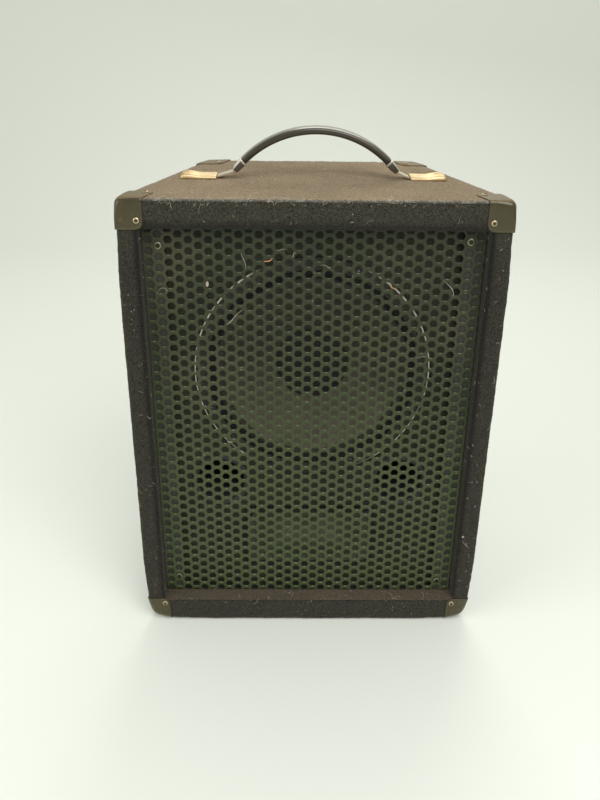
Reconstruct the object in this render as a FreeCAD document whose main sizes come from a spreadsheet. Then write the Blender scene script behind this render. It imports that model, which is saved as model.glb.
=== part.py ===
import FreeCAD, Part
import math
import os
import re

import Sketcher
from FreeCAD import Placement, Rotation, Vector

# A carpet-covered speaker cabinet: a box that tapers towards its back, with a woofer, two ports and a horn
# behind a perforated grille, corner protectors and a bowed strap handle.
# +X is the viewer's right, the front faces -Y and +Z is up. The cabinet stands on z = 0, on its protectors.
# Millimetres throughout.

doc = FreeCAD.newDocument("speaker_cabinet")

# Driving sizes

SIZES = {
    # Box, measured over the carpet
    "front_width": 400,
    "side_taper": 73,
    "box_depth": 220,
    "carpet_thickness": 3,
    "carpet_bevel": 4,
    "carpet_fold": 12,
    "side_board": 15,
    "end_board": 25.5,
    "back_board": 15,
    "baffle_board": 18,
    "front_edge_width": 22.5,
    "grille_recess": 18,
    "cleat_depth": 12,
    "cleat_share": 0.38,
    "batten_width": 16,
    "batten_depth": 20,
    # Layout of the baffle, from the top of the opening down
    "woofer_margin": 35.5,
    "woofer_horn_gap": 51,
    "horn_margin": 32.5,
    "port_gap": 5.9,
    "port_rise": 37,
    # Grille
    "grille_sheet": 1.5,
    "grille_gap": 0.5,
    "grille_border": 8,
    "grille_hole": 22,
    "grille_pitch": 32,
    # Corner protectors
    "protector_sheet": 2,
    "protector_leg": 31,
    "protector_clip": 8,
    # Handle, measured from the carpet's top
    "handle_rise": 50.7,
    "bow_shift": 2.6,
    "grip_half_span": 80,
    "grip_end_rise": 17.1,
    "grip_width": 24,
    "grip_thickness": 8.5,
    "grip_bevel": 2.6,
    "strap_width": 14,
    "strap_thickness": 1.5,
    "strap_clearance": 0.2,
    "ferrule_length": 14,
    "ferrule_narrowing": 2.2,
    "plate_start": 106,
    "plate_length": 40,
    "plate_width": 25,
    "plate_low": 4,
    "plate_high": 6,
    "plate_hump": 15,
    "plate_wall": 1.2,
    "strap_tongue": 20,
    # Woofer
    "rim_diameter": 260,
    "rim_width": 16,
    "basket_sheet": 2,
    "cutout_clearance": 1.5,
    "basket_depth": 66,
    "shelf_depth": 44,
    "shelf_width": 16,
    "neck_inset": 6,
    "window_depth": 24,
    "window_count": 6,
    "window_share": 0.6,
    "gasket_width": 13,
    "gasket_lip": 1,
    "gasket_thickness": 3,
    "surround_width": 13,
    "surround_sheet": 0.8,
    "surround_wave": 2.2,
    "glue_line": 0.1,
    "flex_gap": 0.3,
    "cone_depth": 28,
    "cone_sheet": 1.2,
    "cap_diameter": 82,
    "cap_rise": 12,
    "cap_sheet": 1,
    "coil_diameter": 50,
    "former_wall": 0.5,
    "former_length": 52,
    "coil_wire": 0.8,
    "coil_length": 14,
    "magnet_gap": 0.8,
    "spider_sheet": 0.8,
    "spider_wave": 2,
    "plate_diameter": 120,
    "plate_thickness": 6,
    "magnet_diameter": 130,
    "magnet_thickness": 18,
    "magnet_bore": 64,
    "yoke_plate": 6,
    "pole_vent": 16,
    "tag_width": 24,
    "tag_height": 10,
    "tag_depth": 12,
    # Horn and its driver
    "horn_width": 157,
    "horn_height": 83,
    "horn_flange": 4,
    "horn_clip": 5,
    "mouth_width": 128,
    "mouth_height": 56,
    "waist_width": 62,
    "waist_height": 38,
    "throat_size": 24,
    "horn_depth": 60,
    "waist_depth": 30,
    "horn_wall": 3,
    "driver_neck": 44,
    "driver_neck_length": 10,
    "driver_diameter": 74,
    "driver_length": 32,
    # Ports
    "port_bore": 55,
    "port_wall": 2.5,
    "port_lip": 4.5,
    "port_flange": 2.5,
    "port_length": 70,
    "fit_clearance": 0.3,
    # Jack dish, sockets and crossover on the back
    "dish_width": 100,
    "dish_height": 78,
    "dish_flange": 1.5,
    "dish_clip": 5,
    "cup_width": 72,
    "cup_height": 50,
    "cup_depth": 24,
    "cup_wall": 1.5,
    "jack_spacing": 34,
    "jack_bore": 6.4,
    "jack_bore_length": 28,
    "jack_thread": 9,
    "jack_stand": 4,
    "jack_body": 16,
    "jack_cap": 3,
    "board_width": 84,
    "board_height": 54,
    "board_sheet": 1.6,
    "choke_diameter": 32,
    "choke_bore": 14,
    "choke_height": 14,
    # Leads: flat twin flex
    "lead_width": 5,
    "lead_thickness": 2.5,
    "lead_bend": 9,
}

# Places worked out from the driving sizes

PLACES = {
    # Depth, from front to back
    "y_front": "-box_depth / 2",
    "y_back": "box_depth / 2",
    "y_wood_front": "y_front + carpet_thickness",
    "y_wood_back": "y_back - carpet_thickness",
    "y_grille_front": "y_front + grille_recess",
    "y_grille_back": "y_grille_front + grille_sheet",
    "y_baffle_front": "y_grille_back + cleat_depth",
    "y_baffle_back": "y_baffle_front + baffle_board",
    "y_batten_back": "y_baffle_back + batten_depth",
    "y_back_inner": "y_wood_back - back_board",
    # Plan of the tapered sides
    "slope": "side_taper / box_depth",
    "slant": "sqrt(1 + slope * slope)",
    "skin": "carpet_thickness * slant",
    "side_total": "(carpet_thickness + side_board) * slant",
    "half_front": "front_width / 2",
    "half_back": "half_front - side_taper",
    "half_opening": "half_front - front_edge_width",
    "half_lining": "half_opening + carpet_thickness",
    # Height, from the floor up
    "opening_height": "woofer_margin + rim_diameter + woofer_horn_gap + horn_height + horn_margin",
    "z_base": "protector_sheet",
    "z_wood_base": "z_base + carpet_thickness",
    "z_inner_base": "z_wood_base + end_board",
    "z_opening_base": "z_inner_base + carpet_thickness",
    "z_opening_top": "z_opening_base + opening_height",
    "z_inner_top": "z_opening_top + carpet_thickness",
    "z_wood_top": "z_inner_top + end_board",
    "z_top": "z_wood_top + carpet_thickness",
    "z_middle": "(z_base + z_top) / 2",
    "z_woofer": "z_opening_top - woofer_margin - rim_diameter / 2",
    "z_horn": "z_opening_base + horn_margin + horn_height / 2",
    "z_port": "z_horn + horn_height / 2 + port_rise",
    "z_dish": "(z_woofer - magnet_diameter / 2 + z_horn + driver_diameter / 2) / 2",
    # Baffle openings
    "half_baffle_front": "half_front - (y_baffle_front - y_front) * slope - side_total",
    "woofer_room": "half_baffle_front - rim_diameter / 2 - gasket_lip",
    "half_cleat": "half_baffle_front - cleat_share * woofer_room",
    "port_radius": "port_bore / 2 + port_wall",
    "half_batten": "half_front - (y_batten_back - y_front) * slope - side_total - batten_width",
    "x_port": "half_batten - port_gap - port_radius",
    # Woofer, from the rim to the axis
    "r_rim": "rim_diameter / 2",
    "r_seat": "r_rim - rim_width",
    "r_cutout": "r_seat + cutout_clearance",
    "r_cone": "r_seat - basket_sheet - surround_width",
    "r_neck": "plate_diameter / 2 - neck_inset",
    "r_shelf": "r_neck + shelf_width",
    "r_former": "coil_diameter / 2 + former_wall",
    "r_pole": "coil_diameter / 2 - magnet_gap",
    "r_plate_bore": "r_former + coil_wire + magnet_gap",
    "y_cone_edge": "-basket_sheet - surround_sheet",
    "cone_rate": "cone_depth / (r_cone - r_former)",
    "r_cap": "cap_diameter / 2",
    "y_cap_edge": "y_cone_edge + (r_cone - r_cap) * cone_rate",
    "y_magnet": "basket_depth + plate_thickness",
    "y_yoke": "y_magnet + magnet_thickness",
    "y_coil_middle": "basket_depth + plate_thickness / 2",
    # Handle's arc and its straight ends
    "grip_sagitta": "handle_rise - grip_end_rise",
    "grip_radius": "(grip_half_span * grip_half_span + grip_sagitta * grip_sagitta) / (2 * grip_sagitta)",
    "z_arc": "z_top + handle_rise - grip_radius",
    "grip_sine": "grip_half_span / grip_radius",
    "grip_cosine": "(grip_radius - grip_sagitta) / grip_radius",
    "x_ferrule_end": "grip_half_span + ferrule_length * grip_cosine",
    "z_ferrule_end": "z_top + grip_end_rise - ferrule_length * grip_sine",
    "plate_end": "plate_start + plate_length",
    "strap_rest": "(plate_low - plate_wall) / 2",
    # Jack dish
    "y_cup_floor": "y_back - cup_depth",
    "y_jack_back": "y_cup_floor + jack_stand - jack_bore_length - jack_cap",
    "y_board_back": "y_jack_back - board_sheet",
}

NAME = re.compile(r"[a-z_]+")
FUNCTIONS = ("sqrt", "atan")


def bound(text):
    """The expression with each named size led by the sheet that holds it."""

    def owner(match):
        word = match.group()
        if word in SIZES:
            return "Sizes." + word
        if word in PLACES:
            return "Places." + word
        if word in FUNCTIONS:
            return word
        raise ValueError(f"no size is called {word}")

    return NAME.sub(owner, text)


def fill_sheet(title, rows):
    """One sheet: names in column A, values with those names as aliases in column B."""
    sheet = doc.addObject("Spreadsheet::Sheet", title)
    for row, (name, content) in enumerate(rows.items(), start=1):
        sheet.set(f"A{row}", name)
        sheet.set(f"B{row}", content)
        sheet.setAlias(f"B{row}", name)
    return sheet


sizes = fill_sheet("Sizes", {name: str(number) for name, number in SIZES.items()})
fill_sheet("Places", {name: "=" + bound(text) for name, text in PLACES.items()})
doc.recompute()


def value(text):
    """The number that an expression has now."""
    result = sizes.evalExpression(bound(text))
    return float(getattr(result, "Value", result))


def tie(thing, path, text):
    """Binds a property to an expression of named sizes."""
    thing.setExpression(path, bound(text))


# Sketching helpers

PIECES = []


def piece(kind, label):
    """A document object that is one sub-part of the cabinet."""
    thing = doc.addObject(kind, label)
    thing.Label = label
    PIECES.append(thing)
    return thing


def tool_body(label):
    """A body that only helps to shape other pieces."""
    return doc.addObject("PartDesign::Body", label)


def sketch_on(body, role, offset="0"):
    """A sketch on one of the body's origin planes, moved along that plane's normal."""
    sketch = body.newObject("Sketcher::SketchObject", body.Name + "_sketch")
    plane = next(feature for feature in body.Origin.OriginFeatures if feature.Role == role)
    sketch.AttachmentSupport = [(plane, "")]
    sketch.MapMode = "FlatFace"
    tie(sketch, "AttachmentOffset.Base.z", offset)
    return sketch


def hold(sketch, kind, text, *references):
    """One dimension of a sketch, bound to its expression."""
    index = sketch.addConstraint(Sketcher.Constraint(kind, *references, value(text)))
    tie(sketch, f"Constraints[{index}]", text)


def arc_between(start, end, radius, side):
    """The arc under a half circle from start to end, its centre on the left (1) or right (-1) of the way."""
    chord = end - start
    middle = (start + end) / 2
    across = Vector(-chord.y, chord.x, 0).normalize()
    height = math.sqrt(max(radius**2 - (chord.Length / 2) ** 2, 0))
    centre = middle + across * height * side
    first, last = (start, end) if side > 0 else (end, start)
    angles = [math.atan2(p.y - centre.y, p.x - centre.x) for p in (first, last)]
    return Part.ArcOfCircle(Part.Circle(centre, Vector(0, 0, 1), radius), angles[0], angles[1])


def outline(sketch, corners, arcs=None):
    """A closed chain through the corners. arcs maps a side's number to its radius and its centre's side."""
    arcs = arcs or {}
    points = [Vector(value(x), value(y), 0) for x, y in corners]
    first = sketch.GeometryCount
    ends = []
    for number, start in enumerate(points):
        end = points[(number + 1) % len(points)]
        if number in arcs:
            radius, side = arcs[number]
            sketch.addGeometry(arc_between(start, end, value(radius), side))
            ends.append((1, 2) if side > 0 else (2, 1))
        else:
            sketch.addGeometry(Part.LineSegment(start, end))
            ends.append((1, 2))
    for number in range(len(points)):
        after = (number + 1) % len(points)
        joint = (first + number, ends[number][1], first + after, ends[after][0])
        sketch.addConstraint(Sketcher.Constraint("Coincident", *joint))
    for number, (x, y) in enumerate(corners):
        hold(sketch, "DistanceX", x, -1, 1, first + number, ends[number][0])
        hold(sketch, "DistanceY", y, -1, 1, first + number, ends[number][0])
    for number, (radius, _) in arcs.items():
        hold(sketch, "Radius", radius, first + number)


def rectangle(sketch, left, right, low, high):
    """An upright rectangle."""
    outline(sketch, [(left, low), (right, low), (right, high), (left, high)])


def clipped_rectangle(sketch, half_width, low, high, clip):
    """An upright rectangle, even about the sketch's Y axis, with its corners cut off."""
    left, right = f"-({half_width})", half_width
    corners = [
        (f"{left} + {clip}", low),
        (f"{right} - {clip}", low),
        (right, f"{low} + {clip}"),
        (right, f"{high} - {clip}"),
        (f"{right} - {clip}", high),
        (f"{left} + {clip}", high),
        (left, f"{high} - {clip}"),
        (left, f"{low} + {clip}"),
    ]
    outline(sketch, corners)


def circle(sketch, x, y, radius):
    """A full circle."""
    index = sketch.addGeometry(Part.Circle(Vector(value(x), value(y), 0), Vector(0, 0, 1), value(radius)))
    hold(sketch, "DistanceX", x, -1, 1, index, 3)
    hold(sketch, "DistanceY", y, -1, 1, index, 3)
    hold(sketch, "Radius", radius, index)


def pad(body, sketch, length, symmetric=False):
    """Pads a sketch along its normal, or to both sides of its plane."""
    feature = body.newObject("PartDesign::Pad", body.Name + "_pad")
    feature.Profile = sketch
    feature.SideType = "Symmetric" if symmetric else "One side"
    tie(feature, "Length", length)
    return feature


def pocket(body, sketch, length):
    """Cuts a sketch into the body, against the sketch's normal."""
    feature = body.newObject("PartDesign::Pocket", body.Name + "_pocket")
    feature.Profile = sketch
    tie(feature, "Length", length)
    return feature


def upright(label, corners, low, high, arcs=None, body=None):
    """A board or block with a plan outline, from one height to another."""
    body = body or piece("PartDesign::Body", label)
    sketch = sketch_on(body, "XY_Plane", low)
    outline(sketch, corners, arcs)
    pad(body, sketch, f"{high} - ({low})")
    return body


def sketch_at_depth(body, y):
    """A sketch in a plane that faces the front, with its X and Y along the cabinet's X and Z."""
    return sketch_on(body, "XZ_Plane", f"-({y})")


# Round pieces are turned in flat steps, which keeps the facets of the whole cabinet few.
SEEN_STEPS = 36
HIDDEN_STEPS = 24


def turned_solid(corners, steps):
    """A profile of radius and depth, swept about the Y axis in flat steps."""
    profile = [(value(r), value(depth)) for r, depth in corners]
    turns = [2 * math.pi * k / steps for k in range(steps + 1)]

    def ring(r, depth):
        return [Vector(r * math.cos(a), depth, r * math.sin(a)) for a in turns]

    faces = []
    for (r1, depth1), (r2, depth2) in zip(profile, profile[1:] + profile[:1]):
        if r1 == r2 == 0:
            continue
        first, second = ring(r1, depth1), ring(r2, depth2)
        if depth1 == depth2:
            edges = [Part.makePolygon(points) for points, r in ((first, r1), (second, r2)) if r]
            faces.append(Part.makeFace(edges, "Part::FaceMakerBullseye"))
            continue
        for a, b, c, d in zip(first, second, second[1:], first[1:]):
            points = [a, b, c, d, a] if r1 and r2 else ([a, c, d, a] if r1 else [a, b, c, a])
            faces.append(Part.Face(Part.makePolygon(points)))
    shell = Part.makeShell(faces)
    shell.sewShape()
    solid = Part.makeSolid(shell)
    if solid.Volume < 0:
        solid.reverse()
    return solid


def turned(label, corners, steps=HIDDEN_STEPS, x="0", y="y_baffle_front", z="z_woofer", windows=None):
    """A turned piece on a line along Y, with what its windows take away."""
    solid = turned_solid(corners, steps)
    if windows:
        solid = solid.cut(windows)
    solid.Placement = Placement(point(x, y, z), Rotation())
    return fixed(label, solid)


def mirrored(label, source, normal, z="0"):
    """The mirror image of a piece, across a plane through x = 0 or at a height."""
    image = piece("Part::Mirroring", label)
    image.Source = source
    image.Normal = normal
    tie(image, "Base.z", z)
    return image


def fixed(label, shape):
    """A piece whose shape is worked out below from the sheet's values."""
    thing = piece("Part::Feature", label)
    thing.Shape = shape
    return thing


def point(x, y, z):
    return Vector(value(x), value(y), value(z))


# Plan lines of the tapered side: distance from the middle plane at a depth


def carpet_line(y):
    return f"half_front - ({y} - y_front) * slope"


def wood_line(y):
    return f"half_front - ({y} - y_front) * slope - skin"


def inner_line(y):
    return f"half_front - ({y} - y_front) * slope - side_total"


def both_sides(line, near, far):
    """The plan of a piece that runs from side to side between two depths."""
    return [(f"-({line(near)})", near), (line(near), near), (line(far), far), (f"-({line(far)})", far)]


SIDES = {"left": "-1", "right": "1"}


def on_side(side, corners):
    """The same plan on the left or the right."""
    return [(f"{SIDES[side]} * ({x})", y) for x, y in corners]


# Box of boards

end_plan = both_sides(wood_line, "y_wood_front", "y_wood_back")
upright("bottom_panel", end_plan, "z_wood_base", "z_inner_base")
upright("top_panel", end_plan, "z_inner_top", "z_wood_top")

for side in SIDES:
    # The front edge is rebated, so that the grille's edge has a shoulder to lie on.
    plan = [
        (wood_line("y_wood_front"), "y_wood_front"),
        ("half_lining", "y_wood_front"),
        ("half_lining", "y_grille_back"),
        (inner_line("y_grille_back"), "y_grille_back"),
        (inner_line("y_wood_back"), "y_wood_back"),
        (wood_line("y_wood_back"), "y_wood_back"),
    ]
    upright(f"{side}_side_panel", on_side(side, plan), "z_inner_base", "z_inner_top")
    plan = [
        (inner_line("y_grille_back"), "y_grille_back"),
        (inner_line("y_baffle_front"), "y_baffle_front"),
        ("half_cleat", "y_baffle_front"),
        ("half_cleat", "y_grille_back"),
    ]
    upright(f"grille_cleat_{side}", on_side(side, plan), "z_inner_base", "z_inner_top")
    plan = [
        (inner_line("y_baffle_back"), "y_baffle_back"),
        (inner_line("y_batten_back"), "y_batten_back"),
        ("half_batten", "y_batten_back"),
        ("half_batten", "y_baffle_back"),
    ]
    upright(f"baffle_batten_{side}", on_side(side, plan), "z_inner_base", "z_inner_top")

between_battens = [
    ("-half_batten", "y_baffle_back"),
    ("half_batten", "y_baffle_back"),
    ("half_batten", "y_batten_back"),
    ("-half_batten", "y_batten_back"),
]
back_batten_plan = both_sides(inner_line, "y_back_inner - batten_depth", "y_back_inner")
for place, low, high in (
    ("bottom", "z_inner_base", "z_inner_base + batten_width"),
    ("top", "z_inner_top - batten_width", "z_inner_top"),
):
    upright(f"baffle_batten_{place}", between_battens, low, high)
    upright(f"back_batten_{place}", back_batten_plan, low, high)

baffle_plan = both_sides(inner_line, "y_baffle_front", "y_baffle_back")
baffle = upright("baffle", baffle_plan, "z_inner_base", "z_inner_top")
holes = sketch_at_depth(baffle, "y_baffle_front")
circle(holes, "0", "z_woofer", "r_cutout")
for side in SIDES.values():
    circle(holes, f"{side} * x_port", "z_port", "port_radius + fit_clearance")
half_horn_cut = "mouth_width / 2 + horn_wall + fit_clearance"
horn_cut_rise = "mouth_height / 2 + horn_wall + fit_clearance"
rectangle(
    holes,
    f"-({half_horn_cut})",
    half_horn_cut,
    f"z_horn - ({horn_cut_rise})",
    f"z_horn + {horn_cut_rise}",
)
pocket(baffle, holes, "baffle_board")

half_cup_cut = "cup_width / 2 + fit_clearance"
cup_cut_rise = "cup_height / 2 + fit_clearance"


def cup_opening(body, near, depth):
    """Cuts the jack dish's opening, from a depth towards the back."""
    sketch = sketch_at_depth(body, near)
    rectangle(
        sketch,
        f"-({half_cup_cut})",
        half_cup_cut,
        f"z_dish - ({cup_cut_rise})",
        f"z_dish + {cup_cut_rise}",
    )
    pocket(body, sketch, depth)


back_panel = upright(
    "back_panel", both_sides(inner_line, "y_back_inner", "y_wood_back"), "z_inner_base", "z_inner_top"
)
cup_opening(back_panel, "y_back_inner", "back_board")

# Carpet


def covered_block(body, growth, bevel):
    """The whole box with bevelled edges, grown outwards by a thickness."""
    front = f"y_front - {growth}"
    back = f"y_back + {growth}"
    half_near = f"{carpet_line(front)} + {growth} * slant"
    half_far = f"{carpet_line(back)} + {growth} * slant"
    plan = [(f"-({half_near})", front), (half_near, front), (half_far, back), (f"-({half_far})", back)]
    upright(None, plan, f"z_base - {growth}", f"z_top + {growth}", body=body)
    doc.recompute()
    block = body.Tip
    edge_names = [f"Edge{number + 1}" for number in range(len(block.Shape.Edges))]
    bevels = body.newObject("PartDesign::Chamfer", body.Name + "_bevels")
    bevels.Base = (block, edge_names)
    tie(bevels, "Size", bevel)
    return body


carpet_wrap = covered_block(piece("PartDesign::Body", "carpet_wrap"), "0", "carpet_bevel")
inside = sketch_on(carpet_wrap, "XY_Plane", "z_wood_top")
outline(inside, both_sides(wood_line, "y_wood_front", "y_wood_back"))
pocket(carpet_wrap, inside, "z_wood_top - z_wood_base")
mouth = sketch_at_depth(carpet_wrap, "y_front")
rectangle(mouth, "-half_opening", "half_opening", "z_opening_base", "z_opening_top")
pocket(carpet_wrap, mouth, "carpet_thickness")
fold = sketch_at_depth(carpet_wrap, "y_wood_back")
fold_edges = (
    "-(half_back - carpet_fold)",
    "half_back - carpet_fold",
    "z_base + carpet_fold",
    "z_top - carpet_fold",
)
rectangle(fold, *fold_edges)
pocket(carpet_wrap, fold, "carpet_thickness")
lining = sketch_at_depth(carpet_wrap, "y_grille_back")
rectangle(lining, "-half_lining", "half_lining", "z_inner_base", "z_inner_top")
rectangle(lining, "-half_opening", "half_opening", "z_opening_base", "z_opening_top")
pad(carpet_wrap, lining, "y_grille_back - y_wood_front")

# The wrap is folded over the back's edges, and a second sheet fills the space between the folds.
carpet_back = piece("PartDesign::Body", "carpet_back")
back_sheet = sketch_at_depth(carpet_back, "y_back")
rectangle(back_sheet, *fold_edges)
pad(carpet_back, back_sheet, "carpet_thickness")
cup_opening(carpet_back, "y_wood_back", "carpet_thickness")

# Grille: a sheet with staggered six-sided holes, every column half a pitch from the next


def grille_shape():
    """One holed face, extruded to the sheet's thickness."""
    half = value("half_opening - grille_gap")
    low = value("z_opening_base + grille_gap")
    high = value("z_opening_top - grille_gap")
    front = value("y_grille_front")
    pitch = value("grille_pitch")
    border = value("grille_border")
    radius = value("grille_hole") / 2
    column_step = pitch * math.sqrt(3) / 2
    columns = int((half - border - radius) / column_step)
    middle = (low + high) / 2
    sheet_corners = [(-half, low), (half, low), (half, high), (-half, high)]
    wires = [Part.makePolygon([Vector(x, front, z) for x, z in sheet_corners + sheet_corners[:1]])]
    for column in range(-columns, columns + 1):
        shift = pitch / 2 if column % 2 else 0
        rows = int((high - low) / 2 / pitch) + 1
        for row in range(-rows, rows + 1):
            x, z = column * column_step, middle + row * pitch + shift
            if z - radius < low + border or z + radius > high - border:
                continue
            turns = [math.radians(60 * k) for k in range(7)]
            ring = [Vector(x + radius * math.cos(a), front, z + radius * math.sin(a)) for a in turns]
            wires.append(Part.makePolygon(ring))
    holed = Part.makeFace(wires, "Part::FaceMakerBullseye")
    return holed.extrude(Vector(0, value("grille_sheet"), 0))


fixed("grille", grille_shape())

# Corner protectors: three-legged pressings that lie on the carpet's bevelled corners. The outer bevel is
# wider, so that the sheet keeps its thickness round the bends.

carpet_block = covered_block(tool_body("carpet_block"), "0", "carpet_bevel")
outer_bevel = "carpet_bevel + protector_sheet * (2 - sqrt(2))"
cover_block = covered_block(tool_body("cover_block"), "protector_sheet", outer_bevel)
cover_shell = doc.addObject("Part::Cut", "cover_shell")
cover_shell.Base = cover_block
cover_shell.Tool = carpet_block

REACH = "(protector_sheet + carpet_bevel)"


def leg_outline(sketch, corner, inward, shift="0"):
    """A leg's outline from beyond the cabinet's corner to its clipped inner tip."""
    (x, y), (sx, sy) = corner, inward
    far_x, far_y = f"{x} - {sx} * ({shift} + {REACH})", f"{y} - {sy} * {REACH}"
    tip_x, tip_y = f"{x} + {sx} * protector_leg", f"{y} + {sy} * protector_leg"
    corners = [
        (far_x, far_y),
        (tip_x, far_y),
        (tip_x, f"{tip_y} - {sy} * protector_clip"),
        (f"{tip_x} - {sx} * protector_clip", tip_y),
        (far_x, tip_y),
    ]
    outline(sketch, corners)


def protector_region(label, half, y, inward):
    """The space of one upper left corner's three legs. inward is 1 at the front and -1 at the back."""
    body = tool_body(label)
    x = f"-{half}"
    face = sketch_at_depth(body, f"{y} + {REACH}")
    leg_outline(face, (x, "z_top"), (1, -1))
    pad(body, face, f"2 * {REACH}")
    side = sketch_on(body, "YZ_Plane", f"{x} - (protector_leg + {REACH}) * slope - {REACH}")
    leg_outline(side, (y, "z_top"), (inward, -1))
    pad(body, side, f"2 * (protector_leg + {REACH}) * slope + 2 * {REACH}")
    top = sketch_on(body, "XY_Plane", f"z_top - {REACH}")
    leg_outline(top, (x, y), (1, inward), "protector_leg * slope" if inward < 0 else "0")
    pad(body, top, f"2 * {REACH}")
    return body


for end, half, y, inward in (("front", "half_front", "y_front", 1), ("rear", "half_back", "y_back", -1)):
    upper_left = piece("Part::Common", f"corner_protector_{end}_top_left")
    upper_left.Base = cover_shell
    upper_left.Tool = protector_region(f"{end}_legs", half, y, inward)
    mirrored(f"corner_protector_{end}_top_right", upper_left, Vector(1, 0, 0))
    lower_left = mirrored(f"corner_protector_{end}_bottom_left", upper_left, Vector(0, 0, 1), "z_middle")
    mirrored(f"corner_protector_{end}_bottom_right", lower_left, Vector(1, 0, 0))

# Handle: a spring-steel strap in a soft grip, with a tapered ferrule at each end of the grip


def grip_section(sketch, margin_width, margin_thickness):
    """The strap's slot in the handle's section, with its clearance."""
    rectangle(
        sketch,
        f"-({margin_width}) / 2",
        f"({margin_width}) / 2",
        f"grip_radius - ({margin_thickness}) / 2",
        f"grip_radius + ({margin_thickness}) / 2",
    )


SLOT_WIDTH = "strap_width + 2 * strap_clearance"
SLOT_HEIGHT = "strap_thickness + 2 * strap_clearance"
GRIP_ANGLE = "2 * atan(grip_half_span / (grip_radius - grip_sagitta))"

grip = piece("PartDesign::Body", "handle_grip")
section = sketch_on(grip, "YZ_Plane")
clipped_rectangle(
    section,
    "grip_width / 2",
    "grip_radius - grip_thickness / 2",
    "grip_radius + grip_thickness / 2",
    "grip_bevel",
)
grip_section(section, SLOT_WIDTH, SLOT_HEIGHT)
bow = grip.newObject("PartDesign::Revolution", "handle_bow")
bow.Profile = section
bow.ReferenceAxis = (section, ["H_Axis"])
bow.Midplane = True
tie(bow, "Angle", GRIP_ANGLE)
tie(grip, "Placement.Base.x", "bow_shift")
tie(grip, "Placement.Base.z", "z_arc")

half_strap = "strap_thickness / 2"
strap_drop = "(z_ferrule_end - z_top - strap_rest)"


def strap_edge(offset, side):
    """Half of one face of the strap, from the plate's end of the strap to the end of the bow."""
    radius = f"(grip_radius + {offset})"
    run = f"(plate_start - x_ferrule_end - {side} * bow_shift)"
    length = f"sqrt({run} * {run} + {strap_drop} * {strap_drop})"
    return [
        (f"{side} * (plate_start + strap_tongue)", f"z_top + strap_rest + {offset}"),
        (f"{side} * (plate_start + {offset} * {strap_drop} / {length} / 2)", f"z_top + strap_rest + {offset}"),
        (f"bow_shift + {side} * (x_ferrule_end + {offset} * grip_sine)", f"z_ferrule_end + {offset} * grip_cosine"),
        (f"bow_shift + {side} * {radius} * grip_sine", f"z_arc + {radius} * grip_cosine"),
    ]


strap = piece("PartDesign::Body", "handle_strap")
upper_right, upper_left = strap_edge(half_strap, 1), strap_edge(half_strap, -1)
lower_right, lower_left = strap_edge(f"-{half_strap}", 1), strap_edge(f"-{half_strap}", -1)
strap_corners = upper_right + upper_left[::-1] + lower_left + lower_right[::-1]
strap_sketch = sketch_on(strap, "XZ_Plane")
outline(
    strap_sketch,
    strap_corners,
    {3: (f"grip_radius + {half_strap}", 1), 11: (f"grip_radius - {half_strap}", -1)},
)
pad(strap, strap_sketch, "strap_width", symmetric=True)


def ferrule(label, side):
    """A sleeve with bevelled ends that closes one end of the grip and lets the strap out."""
    body = piece("PartDesign::Body", label)
    base = sketch_on(body, "XY_Plane")
    clipped_rectangle(base, "grip_thickness / 2", "-grip_width / 2", "grip_width / 2", "grip_bevel")
    pad(body, base, "ferrule_length")
    doc.recompute()
    sleeve = body.Tip
    rim = [
        f"Edge{number + 1}"
        for number, edge in enumerate(sleeve.Shape.Edges)
        if edge.BoundBox.ZMin > value("ferrule_length / 2")
    ]
    bevel = body.newObject("PartDesign::Chamfer", label + "_bevel")
    bevel.Base = (sleeve, rim)
    tie(bevel, "Size", "ferrule_narrowing")
    slot = sketch_on(body, "XY_Plane", "ferrule_length")
    half_slot = f"({SLOT_HEIGHT}) / 2"
    half_slot_width = f"({SLOT_WIDTH}) / 2"
    rectangle(slot, f"-({half_slot})", half_slot, f"-({half_slot_width})", half_slot_width)
    pocket(body, slot, "ferrule_length")
    quarter_turn = Rotation(Vector(0, float(side), 0), 90)
    body.Placement = Placement(Vector(0, 0, 0), quarter_turn)
    tie(body, "Placement.Base.x", f"bow_shift + {side} * grip_half_span")
    tie(body, "Placement.Base.z", "z_top + grip_end_rise")
    tie(body, "Placement.Rotation.Angle", f"2 * atan(1) + {GRIP_ANGLE} / 2")
    return body


def plate(label, side):
    """The pressed plate that takes the strap's tongue: a low channel with a hump over its screw."""
    body = piece("PartDesign::Body", label)
    profile = sketch_on(body, "XZ_Plane")
    corners = [
        (f"{side} * plate_start", "z_top"),
        (f"{side} * plate_end", "z_top"),
        (f"{side} * plate_end", "z_top + plate_low / 2"),
        (f"{side} * (plate_end - plate_hump / 3)", "z_top + plate_high"),
        (f"{side} * (plate_end - 2 * plate_hump / 3)", "z_top + plate_high"),
        (f"{side} * (plate_end - plate_hump)", "z_top + plate_low"),
        (f"{side} * plate_start", "z_top + plate_low"),
    ]
    outline(profile, corners)
    pad(body, profile, "plate_width", symmetric=True)
    doc.recompute()
    channel = sketch_on(body, "XY_Plane", "z_top + plate_low - plate_wall")
    half_channel = f"({SLOT_WIDTH}) / 2"
    outline(
        channel,
        [
            (f"{side} * (plate_start - plate_wall)", f"-({half_channel})"),
            (f"{side} * (plate_start + strap_tongue + plate_wall)", f"-({half_channel})"),
            (f"{side} * (plate_start + strap_tongue + plate_wall)", half_channel),
            (f"{side} * (plate_start - plate_wall)", half_channel),
        ],
    )
    pocket(body, channel, "plate_low - plate_wall")
    return body


for name, side in SIDES.items():
    ferrule(f"handle_ferrule_{name}", side)
    plate(f"handle_plate_{name}", side)

# Woofer, from the outside in. Profiles give radius and depth behind the baffle's front.

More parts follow.
